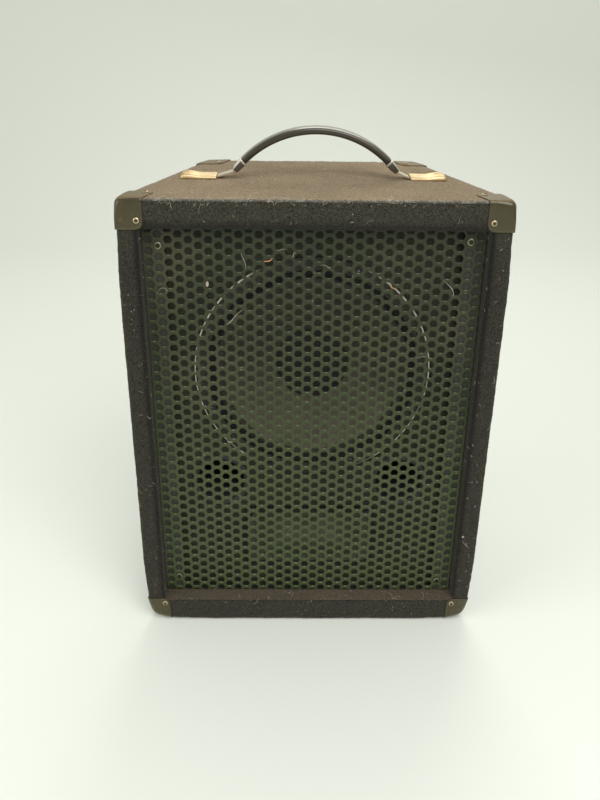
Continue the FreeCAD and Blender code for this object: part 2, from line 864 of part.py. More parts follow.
def basket_windows():
    """Openings in the basket's sloping wall, evenly round it."""
    low = value("r_shelf + 4 * basket_sheet")
    high = low + value("window_depth")
    count = int(value("window_count"))
    half_turn = math.pi / count * value("window_share")
    corners = [(low, -half_turn), (high, -half_turn), (high, half_turn), (low, half_turn), (low, -half_turn)]
    outline_points = [Vector(r * math.cos(a), 0, r * math.sin(a)) for r, a in corners]
    one = Part.Face(Part.makePolygon(outline_points)).extrude(Vector(0, value("basket_depth"), 0))
    copies = []
    for number in range(count):
        copy = one.copy()
        copy.rotate(Vector(0, 0, 0), Vector(0, 1, 0), 360 * (number + 0.5) / count)
        copies.append(copy)
    return Part.makeCompound(copies)


turned(
    "woofer_basket",
    [
        ("r_rim", "-basket_sheet"),
        ("r_rim", "0"),
        ("r_seat", "0"),
        ("r_shelf + basket_sheet", "shelf_depth + basket_sheet"),
        ("r_neck + basket_sheet", "shelf_depth + basket_sheet"),
        ("r_neck + basket_sheet", "basket_depth"),
        ("r_neck", "basket_depth"),
        ("r_neck", "shelf_depth"),
        ("r_shelf", "shelf_depth"),
        ("r_seat - basket_sheet", "-basket_sheet"),
    ],
    SEEN_STEPS,
    windows=basket_windows(),
)

turned(
    "woofer_gasket",
    [
        ("r_rim - gasket_width", "-basket_sheet - gasket_thickness"),
        ("r_rim + gasket_lip", "-basket_sheet - gasket_thickness"),
        ("r_rim + gasket_lip", "-basket_sheet"),
        ("r_rim - gasket_width", "-basket_sheet"),
    ],
    SEEN_STEPS,
)


def rippled(label, radii, depths, sheet, steps):
    """A turned sheet that waves between an inner and an outer edge."""
    front = list(zip(radii, depths))
    back = [(r, f"{depth} + {sheet}") for r, depth in reversed(front)]
    turned(label, front + back, steps)


surround_start = "r_cone + flex_gap"
surround_span = "(surround_width - flex_gap)"
rippled(
    "woofer_surround",
    [
        surround_start,
        f"{surround_start} + {surround_span} * 0.25",
        f"{surround_start} + {surround_span} * 0.5",
        f"{surround_start} + {surround_span} * 0.75",
        "r_seat - basket_sheet / 2",
        "r_rim - gasket_width - glue_line",
    ],
    [
        "y_cone_edge",
        "y_cone_edge - surround_wave",
        "y_cone_edge + surround_wave / 2",
        "y_cone_edge - surround_wave",
        "y_cone_edge",
        "y_cone_edge",
    ],
    "surround_sheet",
    SEEN_STEPS,
)
spider_start = "r_former + flex_gap"
spider_span = "(r_neck - r_former - flex_gap)"
rippled(
    "woofer_spider",
    [
        spider_start,
        f"{spider_start} + {spider_span} * 0.25",
        f"{spider_start} + {spider_span} * 0.5",
        f"{spider_start} + {spider_span} * 0.75",
        "r_neck + glue_line",
        "r_shelf - basket_sheet",
    ],
    [
        "shelf_depth - spider_sheet",
        "shelf_depth - spider_sheet - spider_wave",
        "shelf_depth - spider_sheet + spider_wave",
        "shelf_depth - spider_sheet - spider_wave",
        "shelf_depth - spider_sheet",
        "shelf_depth - spider_sheet",
    ],
    "spider_sheet",
    HIDDEN_STEPS,
)

turned(
    "woofer_cone",
    [
        ("r_former + glue_line", "y_cone_edge + cone_depth"),
        ("r_cone", "y_cone_edge"),
        ("r_cone", "y_cone_edge + cone_sheet"),
        ("r_former + glue_line", "y_cone_edge + cone_depth + cone_sheet"),
    ],
    SEEN_STEPS,
)

# The dust cap is a dome in three steps, whose edge stands on the cone.
cap_foot = "y_cap_edge - cap_sheet - glue_line"
cap_front = [
    ("0", f"{cap_foot} - cap_rise"),
    ("r_cap * 0.3", f"{cap_foot} - cap_rise * 0.92"),
    ("r_cap * 0.7", f"{cap_foot} - cap_rise * 0.53"),
    ("r_cap", cap_foot),
]
cap_back = [(r, f"{depth} + cap_sheet") for r, depth in reversed(cap_front)]
turned("woofer_dust_cap", cap_front + cap_back, SEEN_STEPS)

# The coil is wound on the back end of its former, which carries the cone on its front end.
coil_front = "y_coil_middle - coil_length / 2"
coil_back = "y_coil_middle + coil_length / 2"
turned(
    "voice_coil",
    [
        ("coil_diameter / 2", f"{coil_back} - former_length"),
        ("r_former", f"{coil_back} - former_length"),
        ("r_former", coil_front),
        ("r_former + coil_wire", coil_front),
        ("r_former + coil_wire", coil_back),
        ("coil_diameter / 2", coil_back),
    ],
)


def ring(label, inner, outer, near, far):
    """A flat turned ring between two depths."""
    turned(label, [(inner, near), (outer, near), (outer, far), (inner, far)])


ring("woofer_top_plate", "r_plate_bore", "plate_diameter / 2", "basket_depth", "y_magnet")
ring("woofer_magnet", "magnet_bore / 2", "magnet_diameter / 2", "y_magnet", "y_yoke")
turned(
    "woofer_yoke",
    [
        ("pole_vent / 2", "basket_depth"),
        ("r_pole", "basket_depth"),
        ("r_pole", "y_yoke"),
        ("plate_diameter / 2", "y_yoke"),
        ("plate_diameter / 2", "y_yoke + yoke_plate"),
        ("pole_vent / 2", "y_yoke + yoke_plate"),
    ],
)

terminal_top = "z_woofer - r_neck - basket_sheet - fit_clearance"
terminal_near = "y_baffle_front + shelf_depth + basket_sheet + fit_clearance"
upright(
    "woofer_terminal",
    [
        ("-tag_width / 2", terminal_near),
        ("tag_width / 2", terminal_near),
        ("tag_width / 2", f"{terminal_near} + tag_depth"),
        ("-tag_width / 2", f"{terminal_near} + tag_depth"),
    ],
    f"{terminal_top} - tag_height",
    terminal_top,
)

# Horn: a flanged flare that narrows in two steps to a square throat

horn_plate = tool_body("horn_plate")
plate_sketch = sketch_at_depth(horn_plate, "y_baffle_front")
clipped_rectangle(
    plate_sketch,
    "horn_width / 2",
    "z_horn - horn_height / 2",
    "z_horn + horn_height / 2",
    "horn_clip",
)
pad(horn_plate, plate_sketch, "horn_flange")

MOUTH = ("mouth_width / 2", "mouth_height / 2")
WAIST = ("waist_width / 2", "waist_height / 2")
THROAT = ("throat_size / 2", "throat_size / 2")


def funnel(near, near_depth, far, far_depth, wall="0"):
    """A straight-sided funnel between two rectangles at two depths behind the baffle's front."""
    wedge = doc.addObject("Part::Wedge", "horn_funnel")
    tie(wedge, "Ymin", f"y_baffle_front + {near_depth}")
    tie(wedge, "Ymax", f"y_baffle_front + {far_depth}")
    for prefix, (half_width, half_height) in (("", near), ("2", far)):
        tie(wedge, f"X{prefix}min", f"-({half_width} + {wall})")
        tie(wedge, f"X{prefix}max", f"{half_width} + {wall}")
        tie(wedge, f"Z{prefix}min", f"z_horn - ({half_height} + {wall})")
        tie(wedge, f"Z{prefix}max", f"z_horn + {half_height} + {wall}")
    return wedge


horn_body = doc.addObject("Part::MultiFuse", "horn_body")
horn_body.Shapes = [
    horn_plate,
    funnel(MOUTH, "0", WAIST, "waist_depth", "horn_wall"),
    funnel(WAIST, "waist_depth", THROAT, "horn_depth", "horn_wall"),
]
horn_bore = doc.addObject("Part::MultiFuse", "horn_bore")
horn_bore.Shapes = [
    funnel(MOUTH, "-horn_flange", WAIST, "waist_depth"),
    funnel(WAIST, "waist_depth", THROAT, "horn_depth"),
]
horn = piece("Part::Cut", "horn_flare")
horn.Base = horn_body
horn.Tool = horn_bore

turned(
    "horn_driver",
    [
        ("0", "horn_depth"),
        ("driver_neck / 2", "horn_depth"),
        ("driver_neck / 2", "horn_depth + driver_neck_length"),
        ("driver_diameter / 2", "horn_depth + driver_neck_length"),
        ("driver_diameter / 2", "horn_depth + driver_neck_length + driver_length"),
        ("0", "horn_depth + driver_neck_length + driver_length"),
    ],
    z="z_horn",
)

for name, side in SIDES.items():
    turned(
        f"port_tube_{name}",
        [
            ("port_bore / 2", "-port_flange"),
            ("port_radius + port_lip", "-port_flange"),
            ("port_radius + port_lip", "0"),
            ("port_radius", "0"),
            ("port_radius", "port_length"),
            ("port_bore / 2", "port_length"),
        ],
        SEEN_STEPS,
        x=f"{side} * x_port",
        z="z_port",
    )

# Jack dish: a flanged cup let into the back, with two sockets in its floor

dish = piece("PartDesign::Body", "jack_dish")
flange = sketch_on(dish, "XZ_Plane", "-dish_flange")
clipped_rectangle(flange, "dish_width / 2", "-dish_height / 2", "dish_height / 2", "dish_clip")
pad(dish, flange, "dish_flange")
cup = sketch_on(dish, "XZ_Plane")
rectangle(cup, "-cup_width / 2", "cup_width / 2", "-cup_height / 2", "cup_height / 2")
pad(dish, cup, "cup_depth + cup_wall")
doc.recompute()
hollow = sketch_at_depth(dish, "-cup_depth")
rectangle(
    hollow,
    "-cup_width / 2 + cup_wall",
    "cup_width / 2 - cup_wall",
    "-cup_height / 2 + cup_wall",
    "cup_height / 2 - cup_wall",
)
pocket(dish, hollow, "cup_depth + dish_flange")
doc.recompute()
jack_holes = sketch_at_depth(dish, "-cup_depth - cup_wall")
for side in SIDES.values():
    circle(jack_holes, f"{side} * jack_spacing / 2", "0", "jack_thread / 2 + fit_clearance / 2")
pocket(dish, jack_holes, "cup_wall")
tie(dish, "Placement.Base.y", "y_back")
tie(dish, "Placement.Base.z", "z_dish")

for name, side in (("input", "-1"), ("link", "1")):
    socket = piece("PartDesign::Body", f"jack_socket_{name}")
    jack_x = f"{side} * jack_spacing / 2"
    block = sketch_at_depth(socket, "y_cup_floor - cup_wall")
    rectangle(
        block,
        f"{jack_x} - jack_body / 2",
        f"{jack_x} + jack_body / 2",
        "z_dish - jack_body / 2",
        "z_dish + jack_body / 2",
    )
    pad(socket, block, "y_cup_floor - cup_wall - y_jack_back")
    collar = sketch_at_depth(socket, "y_cup_floor + jack_stand")
    circle(collar, jack_x, "z_dish", "jack_thread / 2")
    pad(socket, collar, "jack_stand + cup_wall")
    doc.recompute()
    bore = sketch_at_depth(socket, "y_cup_floor + jack_stand - jack_bore_length")
    circle(bore, jack_x, "z_dish", "jack_bore / 2")
    pocket(socket, bore, "jack_bore_length")

# Crossover: a board on the sockets' backs, with a choke on its inner face

board = piece("PartDesign::Body", "crossover_board")
board_sketch = sketch_at_depth(board, "y_jack_back")
rectangle(
    board_sketch,
    "-board_width / 2",
    "board_width / 2",
    "z_dish - board_height / 2",
    "z_dish + board_height / 2",
)
pad(board, board_sketch, "board_sheet")

turned(
    "crossover_coil",
    [
        ("choke_bore / 2", "-choke_height"),
        ("choke_diameter / 2", "-choke_height"),
        ("choke_diameter / 2", "0"),
        ("choke_bore / 2", "0"),
    ],
    x="board_width / 4",
    y="y_board_back",
    z="z_dish",
)

# Leads inside the box: flat twin flex in the middle plane, bent on the flat


def lead(label, corners, arcs):
    """A flat lead: its side view, padded to its width."""
    body = piece("PartDesign::Body", label)
    sketch = sketch_on(body, "YZ_Plane")
    outline(sketch, corners, arcs)
    pad(body, sketch, "lead_width", symmetric=True)


half_lead = "lead_thickness / 2"
inner_bend = "lead_bend"
outer_bend = "(lead_bend + lead_thickness)"
tag_y = f"({terminal_near} + tag_depth / 2)"
tag_bottom = f"({terminal_top} - tag_height)"
woofer_lead_z = "(z_dish + board_height / 3)"
lead(
    "woofer_lead",
    [
        (f"{tag_y} - {half_lead}", tag_bottom),
        (f"{tag_y} - {half_lead}", f"{woofer_lead_z} - {half_lead} + {outer_bend}"),
        (f"{tag_y} - {half_lead} + {outer_bend}", f"{woofer_lead_z} - {half_lead}"),
        ("y_board_back", f"{woofer_lead_z} - {half_lead}"),
        ("y_board_back", f"{woofer_lead_z} + {half_lead}"),
        (f"{tag_y} + {half_lead} + {inner_bend}", f"{woofer_lead_z} + {half_lead}"),
        (f"{tag_y} + {half_lead}", f"{woofer_lead_z} + {half_lead} + {inner_bend}"),
        (f"{tag_y} + {half_lead}", tag_bottom),
    ],
    {1: (outer_bend, 1), 5: (inner_bend, -1)},
)

driver_y = "(y_baffle_front + horn_depth + driver_neck_length + driver_length / 2)"
driver_top = "(z_horn + driver_diameter / 2)"
horn_lead_z = "(z_dish - board_height / 3)"
lead(
    "horn_lead",
    [
        ("y_board_back", f"{horn_lead_z} - {half_lead}"),
        ("y_board_back", f"{horn_lead_z} + {half_lead}"),
        (f"{driver_y} - {half_lead} + {outer_bend}", f"{horn_lead_z} + {half_lead}"),
        (f"{driver_y} - {half_lead}", f"{horn_lead_z} + {half_lead} - {outer_bend}"),
        (f"{driver_y} - {half_lead}", driver_top),
        (f"{driver_y} + {half_lead}", driver_top),
        (f"{driver_y} + {half_lead}", f"{horn_lead_z} - {half_lead} - {inner_bend}"),
        (f"{driver_y} + {half_lead} + {inner_bend}", f"{horn_lead_z} - {half_lead}"),
    ],
    {2: (outer_bend, 1), 6: (inner_bend, -1)},
)

# Checks and files

doc.recompute()
for thing in doc.Objects:
    if "Invalid" in thing.State or "Error" in thing.State:
        raise RuntimeError(f"{thing.Name} could not be made: {thing.State}")
    if thing.TypeId == "PartDesign::Pocket" and thing.Shape.Volume >= thing.BaseFeature.Shape.Volume:
        raise RuntimeError(f"{thing.Name} cuts nothing")
for thing in PIECES:
    if thing.Shape.isNull() or not thing.Shape.isValid():
        raise RuntimeError(f"{thing.Label} has no valid shape")
    if not thing.Shape.Solids:
        raise RuntimeError(f"{thing.Label} has no solid")

os.makedirs("parts", exist_ok=True)
for thing in PIECES:
    thing.Shape.exportStep(f"parts/{thing.Label}.step")
print(len(PIECES), "pieces,", value("front_width"), "wide,", value("z_top"), "to the top of the carpet")
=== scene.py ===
# %% [markdown]
# # A carpet-covered speaker cabinet, finished in Blender
#
# The cabinet's solids come from the imported frame, already in metres and in their places. This lesson gives
# every solid a procedural finish and replaces those that the eye dwells on, such as the carpet, the
# perforated grille and the handle, with surfaces worked out in numpy. It begins with the frame.

# %% Load the frame
import math
from contextlib import contextmanager

import bmesh
import bpy
import numpy as np
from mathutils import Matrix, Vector


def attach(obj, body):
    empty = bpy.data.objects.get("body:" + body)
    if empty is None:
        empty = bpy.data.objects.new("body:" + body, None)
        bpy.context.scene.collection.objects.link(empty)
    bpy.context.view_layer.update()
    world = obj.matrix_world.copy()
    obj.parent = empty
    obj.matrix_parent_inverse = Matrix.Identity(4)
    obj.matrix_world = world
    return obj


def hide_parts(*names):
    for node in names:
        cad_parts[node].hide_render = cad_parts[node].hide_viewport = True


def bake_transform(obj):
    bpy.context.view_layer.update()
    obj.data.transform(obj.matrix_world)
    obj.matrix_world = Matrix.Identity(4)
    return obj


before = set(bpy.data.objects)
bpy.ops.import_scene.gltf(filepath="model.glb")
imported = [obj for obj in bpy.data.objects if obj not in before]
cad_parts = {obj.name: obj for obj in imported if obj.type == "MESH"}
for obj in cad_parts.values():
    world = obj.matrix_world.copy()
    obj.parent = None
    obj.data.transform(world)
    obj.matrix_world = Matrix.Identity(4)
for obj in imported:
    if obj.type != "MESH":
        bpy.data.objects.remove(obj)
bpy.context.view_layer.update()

# %% [markdown]
# ## Camera
#
# The camera looks down on the front from a little left of the middle. Its place was found by fitting the rows
# of grille holes and the cabinet's corners, so it only needs that place, three angles and a lens. A sensor
# that is fitted to the picture's height makes the lens independent of the frame's shape.

# %% Camera
MM = 0.001
CAMERA_PLACE = np.array([-25.6, -922.7, 701.2]) * MM
CAMERA_TURN = np.radians([64.18, -0.60, -0.56])
CAMERA_LENS = 37.0
SENSOR_HEIGHT = 36.0
scene = bpy.context.scene


def placed(name, data):
    """A new object in the scene that shows a mesh, a camera or a lamp."""
    thing = bpy.data.objects.new(name, data)
    scene.collection.objects.link(thing)
    return thing


camera = placed("camera", bpy.data.cameras.new("camera"))
camera.data.sensor_fit = "VERTICAL"
camera.data.sensor_height = SENSOR_HEIGHT
camera.data.lens = CAMERA_LENS
camera.location = CAMERA_PLACE
camera.rotation_euler = CAMERA_TURN
scene.camera = camera
scene.view_settings.view_transform = "Standard"
print("camera", CAMERA_LENS, "mm, at", CAMERA_PLACE.round(3))

# %% [markdown]
# ## From arrays to meshes
#
# Every new piece is a set of points and the faces between them. A surface that is a function of two
# parameters is a grid, so its faces are the same four-cornered pattern whatever the shape is.

# %% Mesh helpers
MERGE_WITHIN = 2e-6


def grid_faces(rows, columns, rows_meet=False, columns_meet=False):
    """Quads of a grid whose point (i, j) has the number i * columns + j; an end may meet its start."""
    i = np.arange(rows if rows_meet else rows - 1)[:, None]
    j = np.arange(columns if columns_meet else columns - 1)[None, :]
    below = (i + 1) % rows
    right = (j + 1) % columns
    corners = (i * columns + j, i * columns + right, below * columns + right, below * columns + j)
    return np.stack(corners, -1).reshape(-1, 4)


def fill_mesh(name, points, groups, marks=None):
    """A mesh from points and arrays of faces with equal numbers of corners; marks are values by face."""
    points = np.asarray(points, np.float32).reshape(-1, 3)
    groups = [np.asarray(group, np.int32) for group in groups]
    sides = np.concatenate([np.full(len(group), group.shape[1], np.int32) for group in groups])
    corners = np.concatenate([group.ravel() for group in groups])
    mesh = bpy.data.meshes.new(name)
    mesh.vertices.add(len(points))
    mesh.vertices.foreach_set("co", points.ravel())
    mesh.loops.add(len(corners))
    mesh.loops.foreach_set("vertex_index", corners)
    mesh.polygons.add(len(sides))
    mesh.polygons.foreach_set("loop_start", (np.cumsum(sides) - sides).astype(np.int32))
    mesh.update(calc_edges=True)
    for mark, values in (marks or {}).items():
        layer = mesh.attributes.new(mark, "FLOAT", "FACE")
        layer.data.foreach_set("value", np.asarray(values, np.float32).ravel())
    mesh.validate()
    return mesh


@contextmanager
def opened(mesh):
    """A mesh opened for work: doubled points merged first, the faces turned outwards at the end."""
    work = bmesh.new()
    work.from_mesh(mesh)
    bmesh.ops.remove_doubles(work, verts=work.verts, dist=MERGE_WITHIN)
    yield work
    bmesh.ops.recalc_face_normals(work, faces=work.faces)
    work.to_mesh(mesh)
    work.free()


def add_piece(name, points, groups, slot, body="cabinet", node=None, sharp=35.0, merge=True, marks=None):
    """A finished piece at the origin that may stand for a solid; edges over an angle in degrees stay crisp.

    A piece without a body isn't put on one.
    """
    mesh = fill_mesh(name, points, groups, marks)
    if merge:
        with opened(mesh) as work:
            bmesh.ops.dissolve_degenerate(work, dist=MERGE_WITHIN, edges=work.edges)
    mesh.shade_smooth()
    if sharp:
        mesh.set_sharp_from_angle(angle=math.radians(sharp))
    thing = placed(name, mesh)
    if body:
        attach(thing, body)
    if node:
        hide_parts(node)
    print(name, len(mesh.polygons), "faces")
    return thing


def add_grid(name, points, slot, rows_meet=False, columns_meet=True, **more):
    """A piece that is one grid of points, which may be closed either way."""
    return add_piece(name, points, [grid_faces(*points.shape[:2], rows_meet, columns_meet)], slot, **more)


def add_wall(thing, thickness, outward):
    """Turns an open sheet's faces outwards, by their sum, and gives it a wall on the inner side."""
    if sum(face.normal.dot(Vector(outward)) for face in thing.data.polygons) < 0:
        thing.data.flip_normals()
    wall = thing.modifiers.new("wall", "SOLIDIFY")
    wall.thickness = thickness * MM
    wall.offset = -1


print("mesh helpers ready")

# %% [markdown]
# Small rules for arrays come up again and again: a smooth step, directions of length one, directions across a
# normal or round an axis, the faces of many copies, and a noise that stirs a surface without any texture.

# %% Array helpers
NOISE_MIX = np.array([12.9898, 78.233, 37.719])
NOISE_SPREAD = 43758.5453
UPRIGHT = 0.9
TINY = 1e-12


def eased(share):
    """A smooth step from nought to one: 3 s^2 - 2 s^3."""
    return share * share * (3 - 2 * share)


def unit(vectors):
    """The same directions with length one."""
    return vectors / np.maximum(np.linalg.norm(vectors, axis=-1, keepdims=True), TINY)


def lattice_noise(points, cell, seed):
    """Smooth noise from -1 to 1: a random number at each corner of a lattice, eased between corners."""
    place = points / cell
    low = np.floor(place)
    ease = eased(place - low)
    total = np.zeros(place.shape[:-1])
    for corner in np.ndindex(2, 2, 2):
        wave = np.sin((low + corner) @ NOISE_MIX + seed) * NOISE_SPREAD
        total += np.where(corner, ease, 1 - ease).prod(-1) * (wave - np.floor(wave))
    return total * 2 - 1


def repeated(groups, count, points):
    """The faces of one shape for a count of copies, each with that many points."""
    start = np.arange(count)[:, None, None] * points
    return [(start + group).reshape(-1, group.shape[1]) for group in groups]


def tangents(normals, guide):
    """Two directions across each normal; the first is level, or square to the guide on a lid or floor."""
    guide = np.where(abs(normals[:, 2:]) > UPRIGHT, [guide], [[0.0, 0.0, 1.0]])
    first = unit(np.cross(guide, normals))
    return first, np.cross(normals, first)


def spokes(first, second, count):
    """Directions all round, from the first towards the second."""
    angle = np.arange(count)[:, None] * 2 * np.pi / count
    return first[..., None, :] * np.cos(angle) + second[..., None, :] * np.sin(angle)


print("array helpers ready")

# %% [markdown]
# ## Finishes as expressions
#
# A procedural finish is arithmetic on patterns: noise, cells and places. Writing it as node calls hides that,
# so one small class wraps a node's output and lets operators add the Math nodes. Every other node comes from
# one method. Colours are mixed with Mix nodes, because a Math node would turn them grey.

# %% Sockets that do arithmetic


def operator(operation, order=1):
    """A method that adds a Math node; an order of minus one puts the wire after the other value."""
    return lambda wire, *other: wire.finish.node(
        "ShaderNodeMath", {"operation": operation}, dict(enumerate((wire, *other)[::order]))
    )


class Wire:
    """A node's output inside one finish."""

    def __init__(self, finish, socket):
        self.finish = finish
        self.socket = socket

    __add__ = __radd__ = operator("ADD")
    __mul__ = __rmul__ = operator("MULTIPLY")
    __sub__ = operator("SUBTRACT")
    __rsub__ = operator("SUBTRACT", -1)
    __pow__ = operator("POWER")
    __lt__ = operator("LESS_THAN")
    __abs__ = operator("ABSOLUTE")

    def rise(self, low, high):
        """Nought below low, one above high and a smooth step between."""
        inputs = {"Value": self, "From Min": low, "From Max": high}
        return self.finish.node("ShaderNodeMapRange", {"interpolation_type": "SMOOTHSTEP"}, inputs)


class Finish:
    """One material, built from expressions."""

    def __init__(self, name):
        self.material = bpy.data.materials.new(name)
        self.material.use_nodes = True
        self.tree = self.material.node_tree
        self.shader = self.tree.nodes["Principled BSDF"]
        self.place = self.node("ShaderNodeTexCoord", {}, {}, "Object")
        axes = (self.node("ShaderNodeSeparateXYZ", {}, {0: self.place}, axis) for axis in "XYZ")
        self.x, self.y, self.z = axes

    def node(self, kind, settings, inputs, output=0):
        """A node of that kind: its settings first, then the values or links of its sockets."""
        made = self.tree.nodes.new(kind)
        for name, setting in settings.items():
            setattr(made, name, setting)
        for name, entry in inputs.items():
            self.feed(made.inputs[name], entry)
        return Wire(self, made.outputs[output])

    def feed(self, socket, entry):
        """Links a wire to a socket, or sets the socket's own value."""
        if isinstance(entry, Wire):
            self.tree.links.new(entry.socket, socket)
        elif socket.type == "RGBA" and len(entry) == 3:
            socket.default_value = (*entry, 1.0)
        else:
            socket.default_value = entry

    def noise(self, scale, detail=2.0, roughness=0.5, stretch=None, swirl=0.0):
        """Cloudy noise from nought to one; axes may be stretched, and a swirl draws clouds into strands."""
        place = self.place
        if stretch:
            place = self.node("ShaderNodeMapping", {}, {"Vector": place, "Scale": stretch})
        inputs = {"Vector": place, "Scale": scale, "Detail": detail, "Roughness": roughness}
        return self.node("ShaderNodeTexNoise", {}, {**inputs, "Distortion": swirl}, "Fac")

    def cells(self, scale, output="Distance"):
        """Cells round scattered points: the distance to the nearest one, or the cell's random colour."""
        return self.node("ShaderNodeTexVoronoi", {}, {"Vector": self.place, "Scale": scale}, output)

    def bands(self, axis, scale):
        """Even bands across an axis."""
        inputs = {"Vector": self.place, "Scale": scale}
        return self.node("ShaderNodeTexWave", {"bands_direction": axis}, inputs)

    def layers(self, base, *covers):
        """A colour with others laid over it: each cover is a factor and a colour."""
        for factor, colour in covers:
            base = self.node("ShaderNodeMix", {"data_type": "RGBA"}, {0: factor, 6: base, 7: colour}, 2)
        return base

    def bump(self, height, distance, strength=1.0, over=None):
        """A normal roughened by a height, which may lie over another bump."""
        inputs = {"Height": height, "Distance": distance, "Strength": strength}
        if over:
            inputs["Normal"] = over
        return self.node("ShaderNodeBump", {}, inputs, "Normal")

    def specks(self, scale, share, size):
        """A mask of small round specks in a share of scattered cells."""
        chance = self.node("ShaderNodeSeparateColor", {}, {0: self.cells(scale, "Color")})
        return (chance < share) * (1 - self.cells(scale).rise(size * 0.5, size))

    def mark(self, name):
        """The value that a mesh's faces carry under that name; nought where they carry none."""
        return self.node("ShaderNodeAttribute", {"attribute_name": name}, {}, "Fac")

    def surface(self, base, roughness, normal=None, **more):
        """Feeds the shader's sockets; the names of further ones have underscores for spaces here."""
        values = {"Base Color": base, "Roughness": roughness, **more}
        if normal:
            values["Normal"] = normal
        for name, entry in values.items():
            self.feed(self.shader.inputs[name.replace("_", " ")], entry)
        return self.material


def dress(material, *names):
    """Gives a finish to pieces or solids by name."""
    for name in names:
        mesh = bpy.data.objects[name].data
        mesh.materials.clear()
        mesh.materials.append(material)


print("finish helpers ready")

# %% [markdown]
# ## Carpet
#
# The box is wrapped in black felted carpet that also lines the recess in front of the grille. The covering is
# one strip: in section it starts at the grille, comes forward, turns over the front edge, crosses the front
# frame, turns again, runs back over the board and folds on to the back. That section is carried round the
# box, so the covering is a grid: along the section one way and round the box the other. It is closed by a
# plainer section, three millimetres further in.

# %% Section of the carpet
FRONT_Y, BACK_Y = -110.0, 110.0
BASE_Z, Z_TOP = 2.0, 527.0
Z_MIDDLE = (BASE_Z + Z_TOP) / 2
HALF_HEIGHT = (Z_TOP - BASE_Z) / 2
HALF_FRONT = 200.0
SIDE_CLOSES = 73.0
TAPER = SIDE_CLOSES / (BACK_Y - FRONT_Y)
SLANT = math.hypot(1, TAPER)
OPENING = (177.5, 231.0)
CARPET, FOLD = 3.0, 12.0
OUTER_ROUND, INNER_ROUND = 4.0, 3.0
GRILLE_FRONT_Y, GRILLE_SHEET = -92.0, 1.5
LINING_SHORT = 0.2
FRAME_STEPS, BEND_STEPS, RUN_STEPS, FOLD_STEPS = 9, 5, 80, 4


def half_width(y):
    """Half the width over the carpet at a depth: the sides close in evenly towards the back."""
    return HALF_FRONT - (np.asarray(y) - FRONT_Y) * TAPER


def straight(start, end, count):
    """Points from start up to, but without, the end."""
    start = np.asarray(start)
    return start + (np.asarray(end) - start) * (np.arange(count) / count)[:, None]


def carpet_section():
    """Half widths, half heights and depths along the outer skin, and along the glued side back to its start.

    The two edges of the front frame and the back edge are quarter circles between the straight runs.
    """
    width, height = OPENING
    turn = np.linspace(0, np.pi / 2, BEND_STEPS + 1)[:-1, None]
    sine, cosine = 1 - np.sin(turn), 1 - np.cos(turn)
    lining_end = GRILLE_FRONT_Y + GRILLE_SHEET - LINING_SHORT
    shaded_lining = straight((width, height, lining_end), (width, height, FRONT_Y + INNER_ROUND), FRAME_STEPS)
    grow = INNER_ROUND * cosine
    inner = np.hstack([width + grow, height + grow, FRONT_Y + INNER_ROUND * sine])
    start = (width + INNER_ROUND, height + INNER_ROUND, FRONT_Y)
    face = straight(start, (HALF_FRONT - OUTER_ROUND, HALF_HEIGHT - OUTER_ROUND, FRONT_Y), FRAME_STEPS)
    depth = FRONT_Y + OUTER_ROUND * cosine
    short = OUTER_ROUND * sine
    outer = np.hstack([half_width(depth) - short, HALF_HEIGHT - short, depth])
    run = straight((FRONT_Y + OUTER_ROUND,), (BACK_Y - OUTER_ROUND,), RUN_STEPS)
    side = np.hstack([half_width(run), np.full_like(run, HALF_HEIGHT), run])
    depth = BACK_Y - OUTER_ROUND * sine
    short = OUTER_ROUND * cosine
    rear = np.hstack([half_width(depth) - short, HALF_HEIGHT - short, depth])
    back = float(half_width(BACK_Y))
    fold_end = (back - FOLD, HALF_HEIGHT - FOLD, BACK_Y)
    fold = straight((back - OUTER_ROUND, HALF_HEIGHT - OUTER_ROUND, BACK_Y), fold_end, FOLD_STEPS)
    skin = np.vstack([shaded_lining, inner, face, outer, side, rear, fold, [fold_end]])
    glued_back, glued_front = BACK_Y - CARPET, FRONT_Y + CARPET
    glue = CARPET * SLANT
    glued = [
        (back - FOLD, HALF_HEIGHT - FOLD, glued_back),
        (half_width(glued_back) - glue, HALF_HEIGHT - CARPET, glued_back),
        (half_width(glued_front) - glue, HALF_HEIGHT - CARPET, glued_front),
        (width + CARPET, height + CARPET, glued_front),
        (width + CARPET, height + CARPET, lining_end),
    ]
    return skin, glued


skin_section, glued_section = carpet_section()
print(len(skin_section), "points along the outer skin of the carpet")

# %% [markdown]
# The way round the box is a rectangle with small round corners, the same for every point of the section
# apart from its half width and half height. So it is stored once as factors: where on the inner rectangle a
# point stands, and in which direction the corner's radius carries it out.

# %% Carried round the box
CARPET_WAY, CARPET_CORNER = (150, 196, 5), 4.5
SIDE_ROW = 60


def way_round(across, upright, corner_steps):
    """Factors (px, pz) on the inner rectangle and (nx, nz) of the corner radius, from the right upwards."""
    corner = (np.arange(corner_steps + 1) / corner_steps) * np.pi / 2
    parts = []
    for quarter, (sx, sz) in enumerate(((1, 1), (-1, 1), (-1, -1), (1, -1))):
        angle = corner + quarter * np.pi / 2
        level = quarter % 2 == 0
        walk = np.linspace(1, -1, (across if level else upright) + 1)[1:-1]
        flat = np.ones_like(walk)
        spot = (walk * sx, flat * sz) if level else (flat * sx, walk * sz)
        here = np.ones_like(angle)
        parts.append(np.stack([here * sx, here * sz, np.cos(angle), np.sin(angle)], 1))
        parts.append(np.stack([*spot, flat * np.cos(angle[-1]), flat * np.sin(angle[-1])], 1))
    return np.vstack(parts).T


